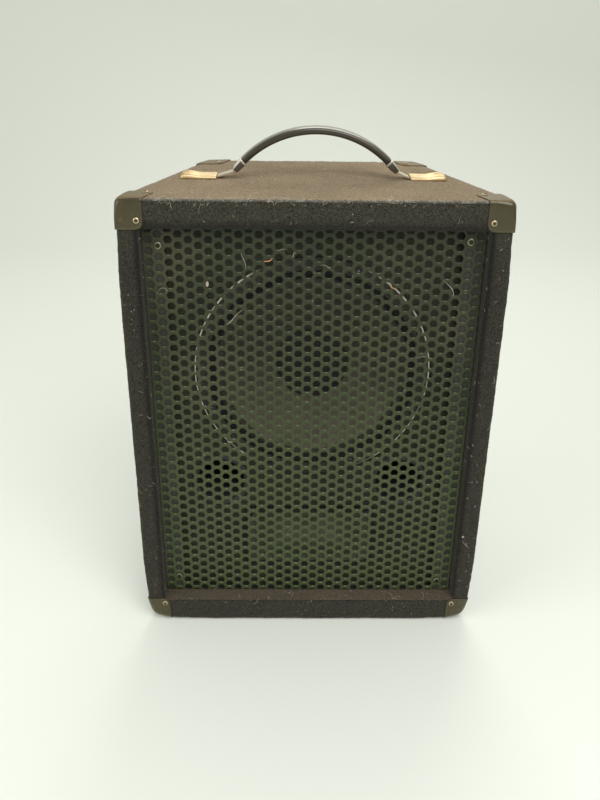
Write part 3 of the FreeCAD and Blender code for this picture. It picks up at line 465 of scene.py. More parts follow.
def carried_round(section, way, corner, centre):
    """A section carried round a rectangle: a grid in metres, the section first, the way round second."""
    px, pz, nx, nz = way
    half_x, half_z, depth = (column[:, None] for column in np.asarray(section, float).T)
    radius = np.minimum(corner, np.minimum(half_x, half_z))
    x = px * (half_x - radius) + nx * radius + centre[0]
    z = pz * (half_z - radius) + nz * radius + centre[1]
    return np.stack([x, np.broadcast_to(depth, x.shape), z], -1) * MM


def grid_normals(points):
    """Outward normals of a grid that is closed the second way, from the differences of neighbours."""
    along = np.gradient(points, axis=0)
    around = np.roll(points, -1, axis=1) - np.roll(points, 1, axis=1)
    normals = unit(np.cross(around, along))
    return normals * np.sign((normals[SIDE_ROW] * (points[SIDE_ROW] - [0, 0, Z_MIDDLE * MM])).sum())


carpet_way = way_round(*CARPET_WAY)
plain_skin = carried_round(skin_section, carpet_way, CARPET_CORNER, (0, Z_MIDDLE))
skin_normals = grid_normals(plain_skin)
print(plain_skin.shape[0], "by", plain_skin.shape[1], "points on the skin")

# %% [markdown]
# The skin swells between the protectors, is stirred by noise, as felt is never flat, and is tucked under the
# protectors at the corners. Its faces carry marks for the finish: how level they lie, where painted shade
# darkens the recess lining and the inner edge of the front face, and which lining faces form its lower lip.

# %% Carpet surface
PUFF_SIDE, PUFF_FRONT, PUFF_BELOW = 2.5, 0.6, 1.4
PUFF_ENDS, PUFF_ENDS_EASE = 24.0, 70.0
PUFF_SIDES, PUFF_SIDES_EASE = 28.0, 40.0
FELT_LUMPS = ((0.34, 3.4, 1.7), (0.30, 19.0, 5.1))
FELT_SINK = 0.35
SHEET, PRESSED_IN = 1.3, 0.45
PROUD = SHEET - PRESSED_IN
BALL = {"top": 8.0, "bottom": 17.0}
BALL_REACH, BALL_SHARE = 10.0, 0.9
EDGE_BEND = 2.4
TUCK_UNDER, TUCK_REACH, TUCK_EASE = 0.1, 38.0, 6.0
LINING_ROWS = FRAME_STEPS + BEND_STEPS
SHADE_FADE = (0.75, 0.4, 0.15)
LINING_ROW = 4


def felted(points, normals):
    """Felt: the skin pressed in and out along its normals by fine lumps on top of broad ones."""
    lumps = sum(high * lattice_noise(points, cell * MM, seed) for high, cell, seed in FELT_LUMPS)
    return points + normals * (lumps - FELT_SINK)[..., None] * MM


def between(values, low, high, ease):
    """One well inside a range, nought at its ends, with a smooth step at both."""
    return eased(np.clip(np.minimum(values - low, high - values) / ease, 0, 1))


def puffed(points, normals):
    """The pile swells where no protector presses it: outwards at the sides, less below and in front."""
    x, y, z = np.moveaxis(points / MM, -1, 0)
    upright = between(z, BASE_Z + PUFF_ENDS, Z_TOP - PUFF_ENDS, PUFF_ENDS_EASE)
    across = between(abs(x), -np.inf, half_width(y) - PUFF_SIDES, PUFF_SIDES_EASE)
    side = PUFF_SIDE * upright * normals[..., 0]
    front = PUFF_FRONT * np.maximum(upright, across) * normals[..., 1]
    below = PUFF_BELOW * across * np.minimum(normals[..., 2], 0)
    swell = np.stack([side, front, below], -1)
    swell[:LINING_ROWS] = 0
    return points + swell * MM


def corner_radius(far, ball):
    """Radius of a rounded corner: the ball's at the corner itself, falling off to the bend of an edge."""
    return EDGE_BEND + (ball - EDGE_BEND) * np.exp(-((far / (BALL_REACH + BALL_SHARE * ball)) ** 2))


def tucked(points):
    """Near a corner, points are drawn towards the ball's middle until they lie under the pressed cap."""
    x, y, z = np.moveaxis(points / MM, -1, 0)
    up = z - Z_MIDDLE
    sign = np.sign(np.stack([x, y, up], -1))
    edge_x = half_width(y) + PROUD * SLANT
    inward = np.stack([edge_x - abs(x), BACK_Y + PROUD - abs(y), HALF_HEIGHT + PROUD - abs(up)], -1)
    far = np.linalg.norm(inward, axis=-1, keepdims=True)
    radius = corner_radius(far, np.where(sign[..., 2:] > 0, BALL["top"], BALL["bottom"]))
    centre = np.maximum(inward, radius)
    reach = np.linalg.norm(inward - centre, axis=-1, keepdims=True)
    pull = np.minimum((radius - SHEET - TUCK_UNDER) / np.maximum(reach, 1e-6), 1.0)
    near = np.clip((TUCK_REACH - far) / TUCK_EASE, 0, 1)
    pulled = centre + (inward - centre) * (1 + (pull - 1) * near)
    return points + sign * (inward - pulled) * MM


skin = tucked(felted(puffed(plain_skin, skin_normals), skin_normals))
glued = tucked(carried_round(glued_section, carpet_way, CARPET_CORNER, (0, Z_MIDDLE)))
wrap_points = np.vstack([skin, glued])
lid = np.zeros(wrap_points.shape[:2])
lid[LINING_ROWS : len(skin)] = skin_normals[LINING_ROWS:, :, 2]
# Painted shade: the recess lining is darkened in full, and the first rows of the front face fade out of it,
# except where the lining faces up on the lower lip.
painted_shade_rows = np.zeros((len(lid), 1))
painted_shade_rows[:LINING_ROWS] = 1.0
painted_shade_rows[LINING_ROWS : LINING_ROWS + len(SHADE_FADE), 0] = SHADE_FADE
level = skin_normals[LINING_ROW, :, 2]
shaded_lining = painted_shade_rows * np.clip(1.0 - level, 0, 1)
lip = (np.arange(len(lid)) < LINING_ROWS - 1)[:, None] * np.clip(level, 0, 1)
carpet_wrap = add_grid(
    "carpet_wrap_felt",
    wrap_points,
    "carpet",
    rows_meet=True,
    node="carpet_wrap",
    sharp=None,
    marks={"lid": lid, "shaded_lining": shaded_lining, "lip": lip},
)

# %% [markdown]
# The back has a panel of the same carpet between the folds, with a window for the connector dish. Rings that
# grow from the window's outline to the panel's cover it: half sizes and middle go evenly from one to the
# other. Its outer edge dips by a millimetre, where it is trimmed and pressed down, which leaves a fine seam.

# %% Back carpet
BACK_TRIM = 0.4
BACK_HALF = np.array([115.0, 250.5]) - BACK_TRIM
BACK_STEPS, BACK_CORNER, BACK_RINGS = (60, 120, 3), 2.0, 76
DISH_Z = 204.75
WINDOW_HALF = np.array([43.0, 32.0])
DIP, DIP_FADE = 1.1, 2.2 / 72


def back_panel_carpet():
    """Rings from the window to the edge, with a dip near the edge, stirred as felt; then the glued side."""
    share = np.linspace(0, 1, BACK_RINGS)[:, None]
    half = WINDOW_HALF + (BACK_HALF - WINDOW_HALF) * share
    rings = np.hstack([half, BACK_Y - DIP * np.exp((share - 1) / DIP_FADE)])
    middle = DISH_Z + (Z_MIDDLE - DISH_Z) * share
    way = way_round(*BACK_STEPS)
    top = felted(carried_round(rings, way, BACK_CORNER, (0, middle)), np.array([0.0, 1.0, 0.0]))
    ends = [(*BACK_HALF, BACK_Y - CARPET), (*WINDOW_HALF, BACK_Y - CARPET)]
    return np.vstack([top, carried_round(ends, way, BACK_CORNER, (0, middle[[-1, 0]]))])


carpet_back = add_grid(
    "carpet_back_felt", back_panel_carpet(), "carpet", rows_meet=True, node="carpet_back", sharp=60
)

# %% [markdown]
# Felt has no clean outline: loose fibres stand off it everywhere. Each fibre is a three-sided spike with one
# bend, so that it costs only a few faces, and all of them are made at once: random spots on the skin, a lean
# between the skin's normal and a random direction, and a random length.

# %% Loose fibres
FIBRES = 15000
FIBRE_LENGTH, FIBRE_RADIUS = (1.0, 2.6), (0.06, 0.13)
FIBRE_UPRIGHT, FIBRE_SPREAD, FIBRE_BEND = 0.75, 0.55, 0.6
FIBRE_FLATTEST, FIBRE_RAISE, FIBRE_ROOT = 0.15, 2, 0.3
LOWEST = 0.2
SPIKE_BEND, SPIKE_SLIM, SPIKE_SKEW = 0.65, 0.7, 1e-3
SPIKE_FACES = [
    np.array([[0, 1, 4, 3], [1, 2, 5, 4], [2, 0, 3, 5]]),
    np.array([[3, 4, 6], [4, 5, 6], [5, 3, 6], [2, 1, 0]]),
]
SKIN_ROWS = (2, len(skin_section) - 2)
PRESSED = 36.0
PLATE_X, PLATE_HALF, PLATE_LOW = 126.0, (24.0, 15.0), 5.0


def spikes(base, lean, bend, length, radius):
    """Three-sided spikes: a base triangle, a slimmer one at two thirds, and a tip that is bent away."""
    side = unit(np.cross(lean, bend + SPIKE_SKEW))
    ring = spokes(side, np.cross(lean, side), 3)
    middle = base + lean * length[:, None] * SPIKE_BEND
    tip = middle + unit(lean + bend) * length[:, None] * (1 - SPIKE_BEND)
    low = base[:, None] + ring * radius[:, None, None]
    high = middle[:, None] + ring * radius[:, None, None] * SPIKE_SLIM
    points = np.concatenate([low, high, tip[:, None]], 1)
    return points.reshape(-1, 3), repeated(SPIKE_FACES, len(base), points.shape[1])


def on_skin(count, rows):
    """Random spots of the skin between two rows of its grid, with their normals."""
    i = draw.integers(*rows, count)
    j = draw.integers(0, skin.shape[1], count)
    share = draw.random((count, 1))
    along = draw.random((count, 1))
    beside = (j + 1) % skin.shape[1]
    spot = skin[i, j] * (1 - share) + skin[i, beside] * share
    spot = spot * (1 - along) + skin[i + 1, j] * along * (1 - share) + skin[i + 1, beside] * along * share
    return spot, skin_normals[i, j]


def uncovered(spots):
    """Whether spots are clear of what presses the pile down: the protectors and the handle's end caps."""
    x, y, z = spots.T / MM
    level = abs(abs(z - Z_MIDDLE) - HALF_HEIGHT) < PRESSED
    corner = level & (abs(abs(y) - BACK_Y) < PRESSED) & (abs(x) > half_width(y) - PRESSED)
    beside = (abs(abs(x) - PLATE_X) < PLATE_HALF[0]) & (abs(y) < PLATE_HALF[1])
    return ~(corner | (beside & (z > Z_TOP - PLATE_LOW)))


draw = np.random.default_rng(11)
spot, normal = on_skin(FIBRES, SKIN_ROWS)
clear = uncovered(spot)
spot, normal = spot[clear], normal[clear]
lean = unit(normal * FIBRE_UPRIGHT + draw.normal(0, FIBRE_SPREAD, spot.shape))
flat = np.maximum(FIBRE_FLATTEST - (lean * normal).sum(1, keepdims=True), 0)
fibre_points, fibre_faces = spikes(
    spot - normal * FIBRE_ROOT * MM,
    unit(lean + normal * flat * FIBRE_RAISE),
    draw.normal(0, FIBRE_BEND, spot.shape),
    draw.uniform(*FIBRE_LENGTH, len(spot)) * MM,
    draw.uniform(*FIBRE_RADIUS, len(spot)) * MM,
)
fibre_points[:, 2] = np.maximum(fibre_points[:, 2], LOWEST * MM)
fibre_marks = {"lid": np.concatenate([np.repeat(normal[:, 2], len(faces)) for faces in SPIKE_FACES])}
add_piece("carpet_fibres", fibre_points, fibre_faces, "carpet", sharp=None, merge=False, marks=fibre_marks)

# %% [markdown]
# Threads and hairs have caught in the pile and on the grille. Each is a thin tube that wanders: its heading
# turns by a steady bend and a slower wave, and its points are the running sum of that heading. All tubes are
# one array. On the carpet they lie at random, with more of them along the top's front edge.

# %% Caught threads
THREAD_STEPS, THREAD_SIDES = 11, 3
THREAD_WAVES = 5
LINT, EDGE_FLUFF = 620, 300
EDGE_ROWS, EDGE_LOW = (22, 30), 9.0
LINT_LOWEST, SIDE_FACING, SIDE_SHARE = -0.3, 0.7, 0.4
LINT_SHAPE, LINT_SCALE, LINT_SHORTEST = 1.6, 1.4, 0.8
HAIR_EVERY, HAIR_LENGTH = 14, (6, 16)
LINT_BEND, LINT_WAVE, LINT_CLEAR = 1.5, 0.6, 0.25
LINT_RADIUS, LINT_LIFT = (0.09, 0.20), (0.0, 0.7)


def threads(starts, normals, heading, bend, wave, length, radius, lift):
    """Tubes along wandering lines: points are sums of unit steps, and both ends close to a point."""
    first, second = tangents(normals, (0.0, 1.0, 0.0))
    walk = np.linspace(0, 1, THREAD_STEPS)[None, :]
    angle = heading[:, None] + bend[:, None] * walk + wave[:, None] * np.sin(THREAD_WAVES * walk)
    along = first[:, None] * np.cos(angle)[..., None] + second[:, None] * np.sin(angle)[..., None]
    step = (length / (THREAD_STEPS - 1))[:, None, None]
    line = starts[:, None] + (np.cumsum(along, 1) - along) * step
    line = line + normals[:, None] * (lift[:, None] * np.sin(np.pi * walk))[..., None]
    across = np.cross(normals[:, None], along)
    thin = np.sqrt(abs(np.sin(np.pi * walk)))[..., None, None] * radius[:, None, None, None]
    points = line[:, :, None] + spokes(across, normals[:, None], THREAD_SIDES) * thin
    faces = grid_faces(THREAD_STEPS, THREAD_SIDES, columns_meet=True)
    return points.reshape(-1, 3), repeated([faces], len(starts), THREAD_STEPS * THREAD_SIDES)


spot, normal = on_skin(LINT * 2, SKIN_ROWS)
kept = (abs(normal[:, 0]) < SIDE_FACING) | (draw.random(LINT * 2) < SIDE_SHARE)
kept &= uncovered(spot) & (normal[:, 2] > LINT_LOWEST)
edge_spot, edge_normal = on_skin(EDGE_FLUFF * 4, EDGE_ROWS)
on_edge = uncovered(edge_spot) & (edge_spot[:, 2] > (Z_TOP - EDGE_LOW) * MM)
spot = np.vstack([spot[kept][:LINT], edge_spot[on_edge][:EDGE_FLUFF]])
normal = np.vstack([normal[kept][:LINT], edge_normal[on_edge][:EDGE_FLUFF]])
count = len(spot)
lint_length = draw.gamma(LINT_SHAPE, LINT_SCALE, count) + LINT_SHORTEST
lint_length[::HAIR_EVERY] = draw.uniform(*HAIR_LENGTH, len(lint_length[::HAIR_EVERY]))
carpet_lint = threads(
    spot + normal * LINT_CLEAR * MM,
    normal,
    draw.uniform(0, 2 * np.pi, count),
    draw.normal(0, LINT_BEND, count),
    draw.normal(0, LINT_WAVE, count),
    lint_length * MM,
    draw.uniform(*LINT_RADIUS, count) * MM,
    draw.uniform(*LINT_LIFT, count) * MM,
)
add_piece("carpet_lint", *carpet_lint, "carpet", sharp=None)

# %% [markdown]
# The carpet is nearly black with a soft sheen. The brown on the top is mostly a painted reflection of warm
# light grazing off the pile and partly dust, and the recess's lower lip gets a little of it, dust and painted
# light from above; it ends raggedly at the top's edges, and the rounded edges there get pale tufts and a
# painted highlight.
# The recess lining is painted in shade, and the carpet below a band at the top is made darker. Pale specks of
# lint are caught all over. The masks are the marks that the faces carry: how level each one lies, where the
# lining's painted shade falls, and the lower lip.

# %% Carpet finishes


def lint_finish():
    finish = Finish("caught_lint")
    hue = finish.noise(70).rise(0.35, 0.65)
    pale, brown, orange = (0.66, 0.63, 0.54), (0.36, 0.28, 0.18), (0.62, 0.30, 0.14)
    base = finish.layers(pale, (hue, brown), (finish.mark("warm"), orange))
    return finish.surface(base, 0.8, Specular_IOR_Level=0.3)


def carpet_finish(name, light):
    finish = Finish(name)
    grain = finish.noise(1100, 3.0, 0.7)
    strand = finish.noise(500, 4.0, 0.7, swirl=1.6)
    tuft = finish.noise(640, 3.0, 0.7, stretch=(1.0, 0.5, 1.0), swirl=0.6)
    clump = finish.noise(150, 3.0, 0.65, swirl=1.0)
    patch = finish.noise(14, 3.0, 0.6)
    lid = finish.mark("lid")
    # The top, with a ragged edge: there the brown is a painted reflection of grazing light, and partly dust.
    on_top = (lid + (tuft - 0.5) * 0.9).rise(0.50, 0.88)
    dust_and_painted_light = (0.80 + 0.20 * patch.rise(0.35, 0.7)) * (0.42 + 0.58 * tuft.rise(0.36, 0.60))
    # The rounded edges round the top: pale tufts, and a painted highlight where they catch light.
    bend = lid.rise(0.10, 0.40) * (1 - lid.rise(0.80, 0.98))
    fluff = finish.specks(260, 0.10, 0.30) * on_top
    lint = finish.specks(120, 0.013, 0.20) + finish.specks(300, 0.016, 0.26) * 0.6 + fluff * 0.6
    dark, pale = light * np.array([(0.0036, 0.0035, 0.0024), (0.074, 0.071, 0.049)])
    base = finish.layers(
        dark,
        (strand.rise(0.36, 0.68), pale),
        (grain.rise(0.54, 0.8) * 0.45, (0.105, 0.100, 0.076)),
        # Darker below a band at the top.
        ((1 - finish.z.rise(0.455, 0.500)) * 0.28, (0.001, 0.001, 0.001)),
        # Painted shade over the recess lining and the inner edge of the front face.
        (finish.mark("shaded_lining") * 0.9, (0.002, 0.002, 0.0015)),
        ((on_top + finish.mark("lip") * 0.20) * dust_and_painted_light, (0.43, 0.312, 0.182)),
        (bend * (0.22 + 0.5 * clump.rise(0.46, 0.62)), (0.32, 0.31, 0.27)),
        (lint * (0.3 + 0.7 * patch.rise(0.40, 0.62)), (0.64, 0.60, 0.51)),
    )
    normal = finish.bump(strand, 0.0016, over=finish.bump(grain, 0.0007))
    sheen = {"Sheen_Weight": 0.15, "Sheen_Roughness": 0.45, "Sheen_Tint": (1.0, 0.92, 0.76)}
    return finish.surface(base, 0.92, normal, Specular_IOR_Level=0.2, **sheen)


lint_material = lint_finish()
dress(lint_material, "carpet_lint")
dress(carpet_finish("carpet_felt", 1.0), "carpet_wrap_felt", "carpet_back_felt")
dress(carpet_finish("carpet_fibre", 1.25), "carpet_fibres")
print("carpet finished")

# %% [markdown]
# ## Grille
#
# The grille is sheet steel with six-sided holes at twelve-millimetre spacing, so that narrow webs of even
# width run between them. Round each hole belongs one hexagon of the sheet, so one cell, a hexagon with a
# smaller one punched through it, is repeated over the lattice and welded. The punch rolls the front rim in a
# little and leaves the hole's corners blunt. The sheet is then trimmed to its rectangle, and the trim runs
# through the last holes.

# %% Perforated sheet
HOLE_SPACING, HOLE_ACROSS = 12.0, 8.2
BLUNT = math.radians(8)
RIM_ROLL, RIM_DEPTH = 0.3, 0.24
LATTICE_START = (4.9, 318.8)
LATTICE_COLUMNS, LATTICE_ROWS = (-18, 19), (-34, 42)
CELL_REACH = 7.0
GRILLE_HALF, GRILLE_Z = 177.0, (34.0, 495.0)
RAYS = 12
LEDGE_WALL, LEDGE_RIM = 2 * RAYS + 9, RAYS + 9
CUT_WITHIN = 1e-7
GRILLE_CRISP = math.radians(50)


def six_sided(across, blunt):
    """Twelve points, two to each corner of a hexagon with level top and bottom, apart along its sides."""
    away = np.tile([-blunt, blunt], 6)
    angle = np.repeat(np.arange(6) * np.pi / 3, 2) + away
    radius = across / 2 / np.cos(np.pi / 6 - abs(away))
    return np.stack([radius * np.cos(angle), radius * np.sin(angle)], 1)


def hole_cell():
    """Rings of a cell as (x, depth, z): hexagon, the hole's rim, rolled edge and back edge, hexagon."""
    hexagon, hole = six_sided(HOLE_SPACING, 0.0), six_sided(HOLE_ACROSS, BLUNT)
    rim = six_sided(HOLE_ACROSS + 2 * RIM_ROLL, BLUNT)
    rings = np.stack([hexagon, rim, hole, hole, hexagon])
    depths = np.array([0.0, 0.0, RIM_DEPTH, GRILLE_SHEET, GRILLE_SHEET])[:, None]
    return np.stack([rings[..., 0], np.broadcast_to(depths, rings.shape[:2]), rings[..., 1]], -1)


def lattice_points():
    """Middles of all cells that reach the sheet: columns side by side, each shifted by half a spacing."""
    column, row = np.meshgrid(np.arange(*LATTICE_COLUMNS), np.arange(*LATTICE_ROWS), indexing="ij")
    x = LATTICE_START[0] + column * HOLE_SPACING * np.sqrt(3) / 2
    z = LATTICE_START[1] - (row + 0.5 * column) * HOLE_SPACING
    level = (z > GRILLE_Z[0] - CELL_REACH) & (z < GRILLE_Z[1] + CELL_REACH)
    near = level & (abs(x) < GRILLE_HALF + CELL_REACH)
    return np.stack([x[near], np.full(near.sum(), GRILLE_FRONT_Y), z[near]], 1)


def trimmed(mesh, cuts):
    """Cuts a closed mesh by planes, keeps the side that each normal points away from and closes the cuts."""
    with opened(mesh) as work:
        for place, normal in cuts:
            everything = work.verts[:] + work.edges[:] + work.faces[:]
            plane = {"plane_co": place, "plane_no": normal, "clear_outer": True, "dist": CUT_WITHIN}
            bmesh.ops.bisect_plane(work, geom=everything, **plane)
        bmesh.ops.holes_fill(work, edges=[edge for edge in work.edges if edge.is_boundary], sides=0)


cell = hole_cell()
middles = lattice_points()
ring_faces = grid_faces(len(cell), RAYS, columns_meet=True)
ledge = np.zeros(len(ring_faces))
ledge[[LEDGE_WALL, LEDGE_RIM]] = 1.0, 0.5
grille = add_piece(
    "grille_sheet",
    (middles[:, None, None] + cell) * MM,
    repeated([ring_faces], len(middles), len(cell) * RAYS),
    "grille_paint",
    node="grille",
    marks={"ledge": np.tile(ledge, len(middles))},
)
GRILLE_CUTS = [((sx * GRILLE_HALF * MM, 0, 0), (sx, 0, 0)) for sx in (-1, 1)]
GRILLE_CUTS += [((0, 0, z * MM), (0, 0, sz)) for sz, z in zip((-1, 1), GRILLE_Z)]
trimmed(grille.data, GRILLE_CUTS)
grille.data.shade_smooth()
grille.data.set_sharp_from_angle(angle=GRILLE_CRISP)
print(len(middles), "cells,", len(grille.data.polygons), "faces after the trim")

# %% [markdown]
# Satin black paint over steel; its dark olive-green tint is painted reflection of the pale green floor, made
# lighter and greener on the lower part, while the upper part is left darker as painted shade under the
# recess's top lip.
# Dust has dulled it in clouds; it raises the roughness as well as the brightness, so both read one mask. The
# lower wall of every hole is paler, dust with a painted highlight where it faces up to the light, which gives
# the holes a thin bright line below. Those faces were marked when the cell was made, and the finish reads the
# mark. A few threads hang on the grille's front face, so only their places, headings, bends, waves, lengths
# and radii are given; two orange bits and a pale crumb are threads too, only stubby ones.

# %% Grille finish and threads
CAUGHT = np.array(
    [
        (-93.7, 388.3, 0.55, 0.35, 0.25, 27.0, 0.30),
        (-75.9, 468.5, -1.45, 0.10, 0.30, 20.0, 0.22),
        (-53.3, 458.1, 0.45, 0.30, -0.5, 12.0, 0.65),
        (-23.3, 462.6, 0.75, 0.20, 0.60, 8.0, 0.30),
        (146.7, 420.4, 1.20, 1.90, 0.30, 26.0, 0.28),
        (-168.0, 420.3, 0.70, -1.6, 0.80, 22.0, 0.22),
        (-112.5, 431.0, 0.90, 1.20, 0.20, 6.5, 2.1),
        (86.5, 428.8, 2.30, 0.60, 0.10, 8.0, 0.65),
        (-96.6, 246.4, -0.60, 0.60, 0.40, 8.0, 0.45),
        (-40.0, 470.0, 0.20, -0.9, 0.40, 16.0, 0.16),
        (20.0, 449.0, 2.60, 0.70, -0.4, 18.0, 0.16),
        (112.0, 352.0, -0.40, 0.80, 0.50, 14.0, 0.16),
    ]
)
ORANGE = (2, 7)
CAUGHT_LIFT = 0.6


def grille_finish():
    finish = Finish("grille_paint")
    grain = finish.noise(700, 2.0, 0.6)
    dust = finish.noise(9, 4.0, 0.6).rise(0.36, 0.72)
    drift = finish.noise(6, 3.0, 0.6).rise(0.48, 0.66)
    chip = finish.noise(160).rise(0.74, 0.78)
    # low: the lower part, made lighter and greener as painted reflection of the floor; the upper part stays
    # darker, as painted shade under the recess's top lip.
    low = 1 - finish.z.rise(0.14, 0.44)
    # The lower walls of the holes face up: dust and a painted highlight there.
    ledge_dust_and_highlight = finish.mark("ledge") * (0.30 + 0.70 * finish.noise(75, 3.0, 0.6).rise(0.35, 0.65))
    # The olive-green of these colours is painted reflection of the pale green floor on black paint.
    base = finish.layers(
        (0.016, 0.021, 0.007),
        (dust, (0.030, 0.037, 0.012)),
        (low * 0.75, (0.052, 0.070, 0.023)),
        (drift * (0.55 - 0.45 * low), (0.056, 0.048, 0.023)),
        (grain.rise(0.62, 0.8) * dust * 0.5, (0.12, 0.115, 0.075)),
        (chip * 0.5, (0.26, 0.25, 0.19)),
        (ledge_dust_and_highlight, (0.25, 0.25, 0.19)),
    )
    rough = 0.42 + 0.2 * dust + 0.1 * grain
    return finish.surface(base, rough, finish.bump(grain, 0.00012, 0.5), Specular_IOR_Level=0.35)


def grille_threads():
    """The caught threads on the grille's front face, and a mark for the faces of the orange ones."""
    x, z, heading, bend, wave, length, radius = CAUGHT.T
    facing = np.tile([0.0, -1.0, 0.0], (len(x), 1))
    starts = np.column_stack([x, np.full_like(x, GRILLE_FRONT_Y - LINT_CLEAR), z]) * MM
    sizes = (length * MM, radius * MM, np.full_like(x, CAUGHT_LIFT * MM))
    warm = np.repeat(np.isin(np.arange(len(x)), ORANGE), (THREAD_STEPS - 1) * THREAD_SIDES)
    return *threads(starts, facing, heading, bend, wave, *sizes), warm


hung, hung_faces, warm = grille_threads()
add_piece("grille_lint", hung, hung_faces, "carpet", sharp=None, marks={"warm": warm})
dress(grille_finish(), "grille_sheet")
dress(lint_material, "grille_lint")
print("grille finished")

# %% [markdown]
# ## Corner protectors
#
# Each corner carries a pressed steel cap with three legs. A rounded box corner has a simple rule: pull every
# point of the sharp corner towards the corner of a smaller box and set it one radius away from there. Each
# leg is a grid of rays from the corner, from one edge to the other, out to a square outline with a clipped
# tip, and the three legs meet along the edges by themselves. Towards the tips the radius shrinks from the
# ball to the bend of an edge.

# %% Protectors
LEGS = (29.5, 31.0, 32.5)
LEG_RAYS, LEG_STEPS = 17, 16
LEG_EASE, TIP_POWER = 1.3, 9.0
EDGE_BEVEL, BEVEL_FROM = 0.35, math.radians(50)
WAYS = {"left": -1, "right": 1, "front": -1, "rear": 1, "bottom": -1, "top": 1}
SIDES = ("left", "right")
PROTECTORS = [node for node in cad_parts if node.startswith("corner_protector")]


def leg_grid():
    """Shares (s, t) of one leg: rays at angles over a quarter turn, out to a rounded square outline."""
    angle = np.linspace(0, np.pi / 2, LEG_RAYS)[None, :]
    reach = (abs(np.cos(angle)) ** TIP_POWER + abs(np.sin(angle)) ** TIP_POWER) ** (-1 / TIP_POWER)
    step = (np.linspace(0, 1, LEG_STEPS) ** LEG_EASE)[:, None]
    return step * reach * np.cos(angle), step * reach * np.sin(angle)


def corner_cap(ball):
    """Three legs along the width, depth and height of a sharp corner, then moved on to the rounded one."""
    s, t = leg_grid()
    nought = np.zeros_like(s)
    points = np.stack([np.stack(leg, -1) for leg in ((s, nought, t), (s, t, nought), (nought, s, t))]) * LEGS
    radius = corner_radius(np.linalg.norm(points, axis=-1, keepdims=True), ball)
    inner = np.maximum(points, radius)
    return inner + unit(points - inner) * radius


def protector(node):
    """A cap in the place that its name says: its depth direction leans with the tapered side."""
    depth, height, side = node.split("_")[2:]
    signs = WAYS[side], WAYS[depth], WAYS[height]
    along_x, along_y, along_z = np.moveaxis(corner_cap(BALL[height]), -1, 0)
    y = signs[1] * (BACK_Y + PROUD - along_y)
    x = signs[0] * (half_width(y) + PROUD * SLANT - along_x)
    z = Z_MIDDLE + signs[2] * (HALF_HEIGHT + PROUD - along_z)
    faces = grid_faces(LEG_STEPS, LEG_RAYS)
    groups = repeated([faces], len(LEGS), LEG_STEPS * LEG_RAYS)
    marks = {"lid": np.repeat([0.0, max(signs[2], 0), 0.0], len(faces))}
    points = np.stack([x, y, z], -1) * MM
    thing = add_piece(node + "_pressed", points, groups, "protector", node=node, sharp=None, marks=marks)
    add_wall(thing, SHEET, signs)
    edge = thing.modifiers.new("edge", "BEVEL")
    edge.width = EDGE_BEVEL * MM
    edge.segments = 2
    edge.limit_method = "ANGLE"
    edge.angle_limit = BEVEL_FROM


for node in PROTECTORS:
    protector(node)

# %% [markdown]
# The caps are painted black with a good gloss; the brown in their colour and the warm tint of their gloss are
# painted reflection of warm light, and so is the brown on the legs that face up. Handling has scuffed them:
# fine scratches show in the gloss, and paint has worn to brown metal in spots.

# %% Protector finish


def protector_finish():
    finish = Finish("protector_paint")
    haze = finish.noise(60, 4.0, 0.65)
    scratch = finish.noise(240, stretch=(1.0, 1.0, 0.06)).rise(0.62, 0.70)
    worn = finish.noise(120, 3.0, 0.7).rise(0.66, 0.74)
    lid = finish.mark("lid")
    # The brown tint of the dark base is painted warm reflection.
    base = finish.layers(
        (0.020, 0.017, 0.008),
        (haze, (0.046, 0.040, 0.018)),
        (worn * 0.35, (0.24, 0.175, 0.07)),
        # Painted reflection of warm light on the legs that face up.
        (lid * (0.40 + 0.4 * haze), (0.22, 0.16, 0.082)),
    )
    rough = 0.20 + 0.14 * haze + 0.2 * scratch + 0.3 * lid
    gloss = {"Coat_Weight": 0.45 - 0.4 * lid, "Coat_Roughness": 0.15}
    # Warm tints on the gloss: painted warm reflection.
    tint = {"Specular_Tint": (1.0, 0.93, 0.70), "Coat_Tint": (1.0, 0.93, 0.70)}
    return finish.surface(base, rough, finish.bump(haze, 0.0004, 0.4), **gloss, **tint)


dress(protector_finish(), *[node + "_pressed" for node in PROTECTORS])
print(len(PROTECTORS), "protectors finished")

# %% [markdown]
# ## Screws
#
# A pan head is a low dome with a cross recess. A square grid bent into a disc keeps its lines straight near
# the middle, so the recess can follow them: grid lines are set on its edges, and the points inside the cross
# are pushed down. Every set of screws is placed at once from points, directions and spins.

# %% Screw heads
RECESS_LINES = np.array([0.0, 0.15, 0.17, 0.36, 0.50, 0.53, 0.70, 0.86, 1.0])
ARM_HALF, ARM_REACH, ARM_DEPTH, ARM_SLOPE = 0.155, 0.505, 0.55, 0.5
HEAD_RIM, HEAD_FALL, HEAD_SEAT = 0.35, 0.92, -0.3
RIM_SHARE = 0.64
SIDE_NORMAL = np.array([1.0, TAPER, 0.0])
INSET, LOW_INSET = 22.0, 25.5


def closed_slab(top, floor):
    """Two grids over one another and the wall between their edges."""
    rows, columns = top.shape[:2]
    number = np.arange(rows * columns).reshape(rows, columns)
    edge = np.concatenate([number[0, :-1], number[:-1, -1], number[-1, :0:-1], number[:0:-1, 0]])
    after = np.roll(edge, -1)
    wall = np.stack([edge, after, after + number.size, edge + number.size], 1)
    faces = grid_faces(rows, columns)
    return np.concatenate([top, floor]).reshape(-1, 3), [faces, faces + number.size, wall]


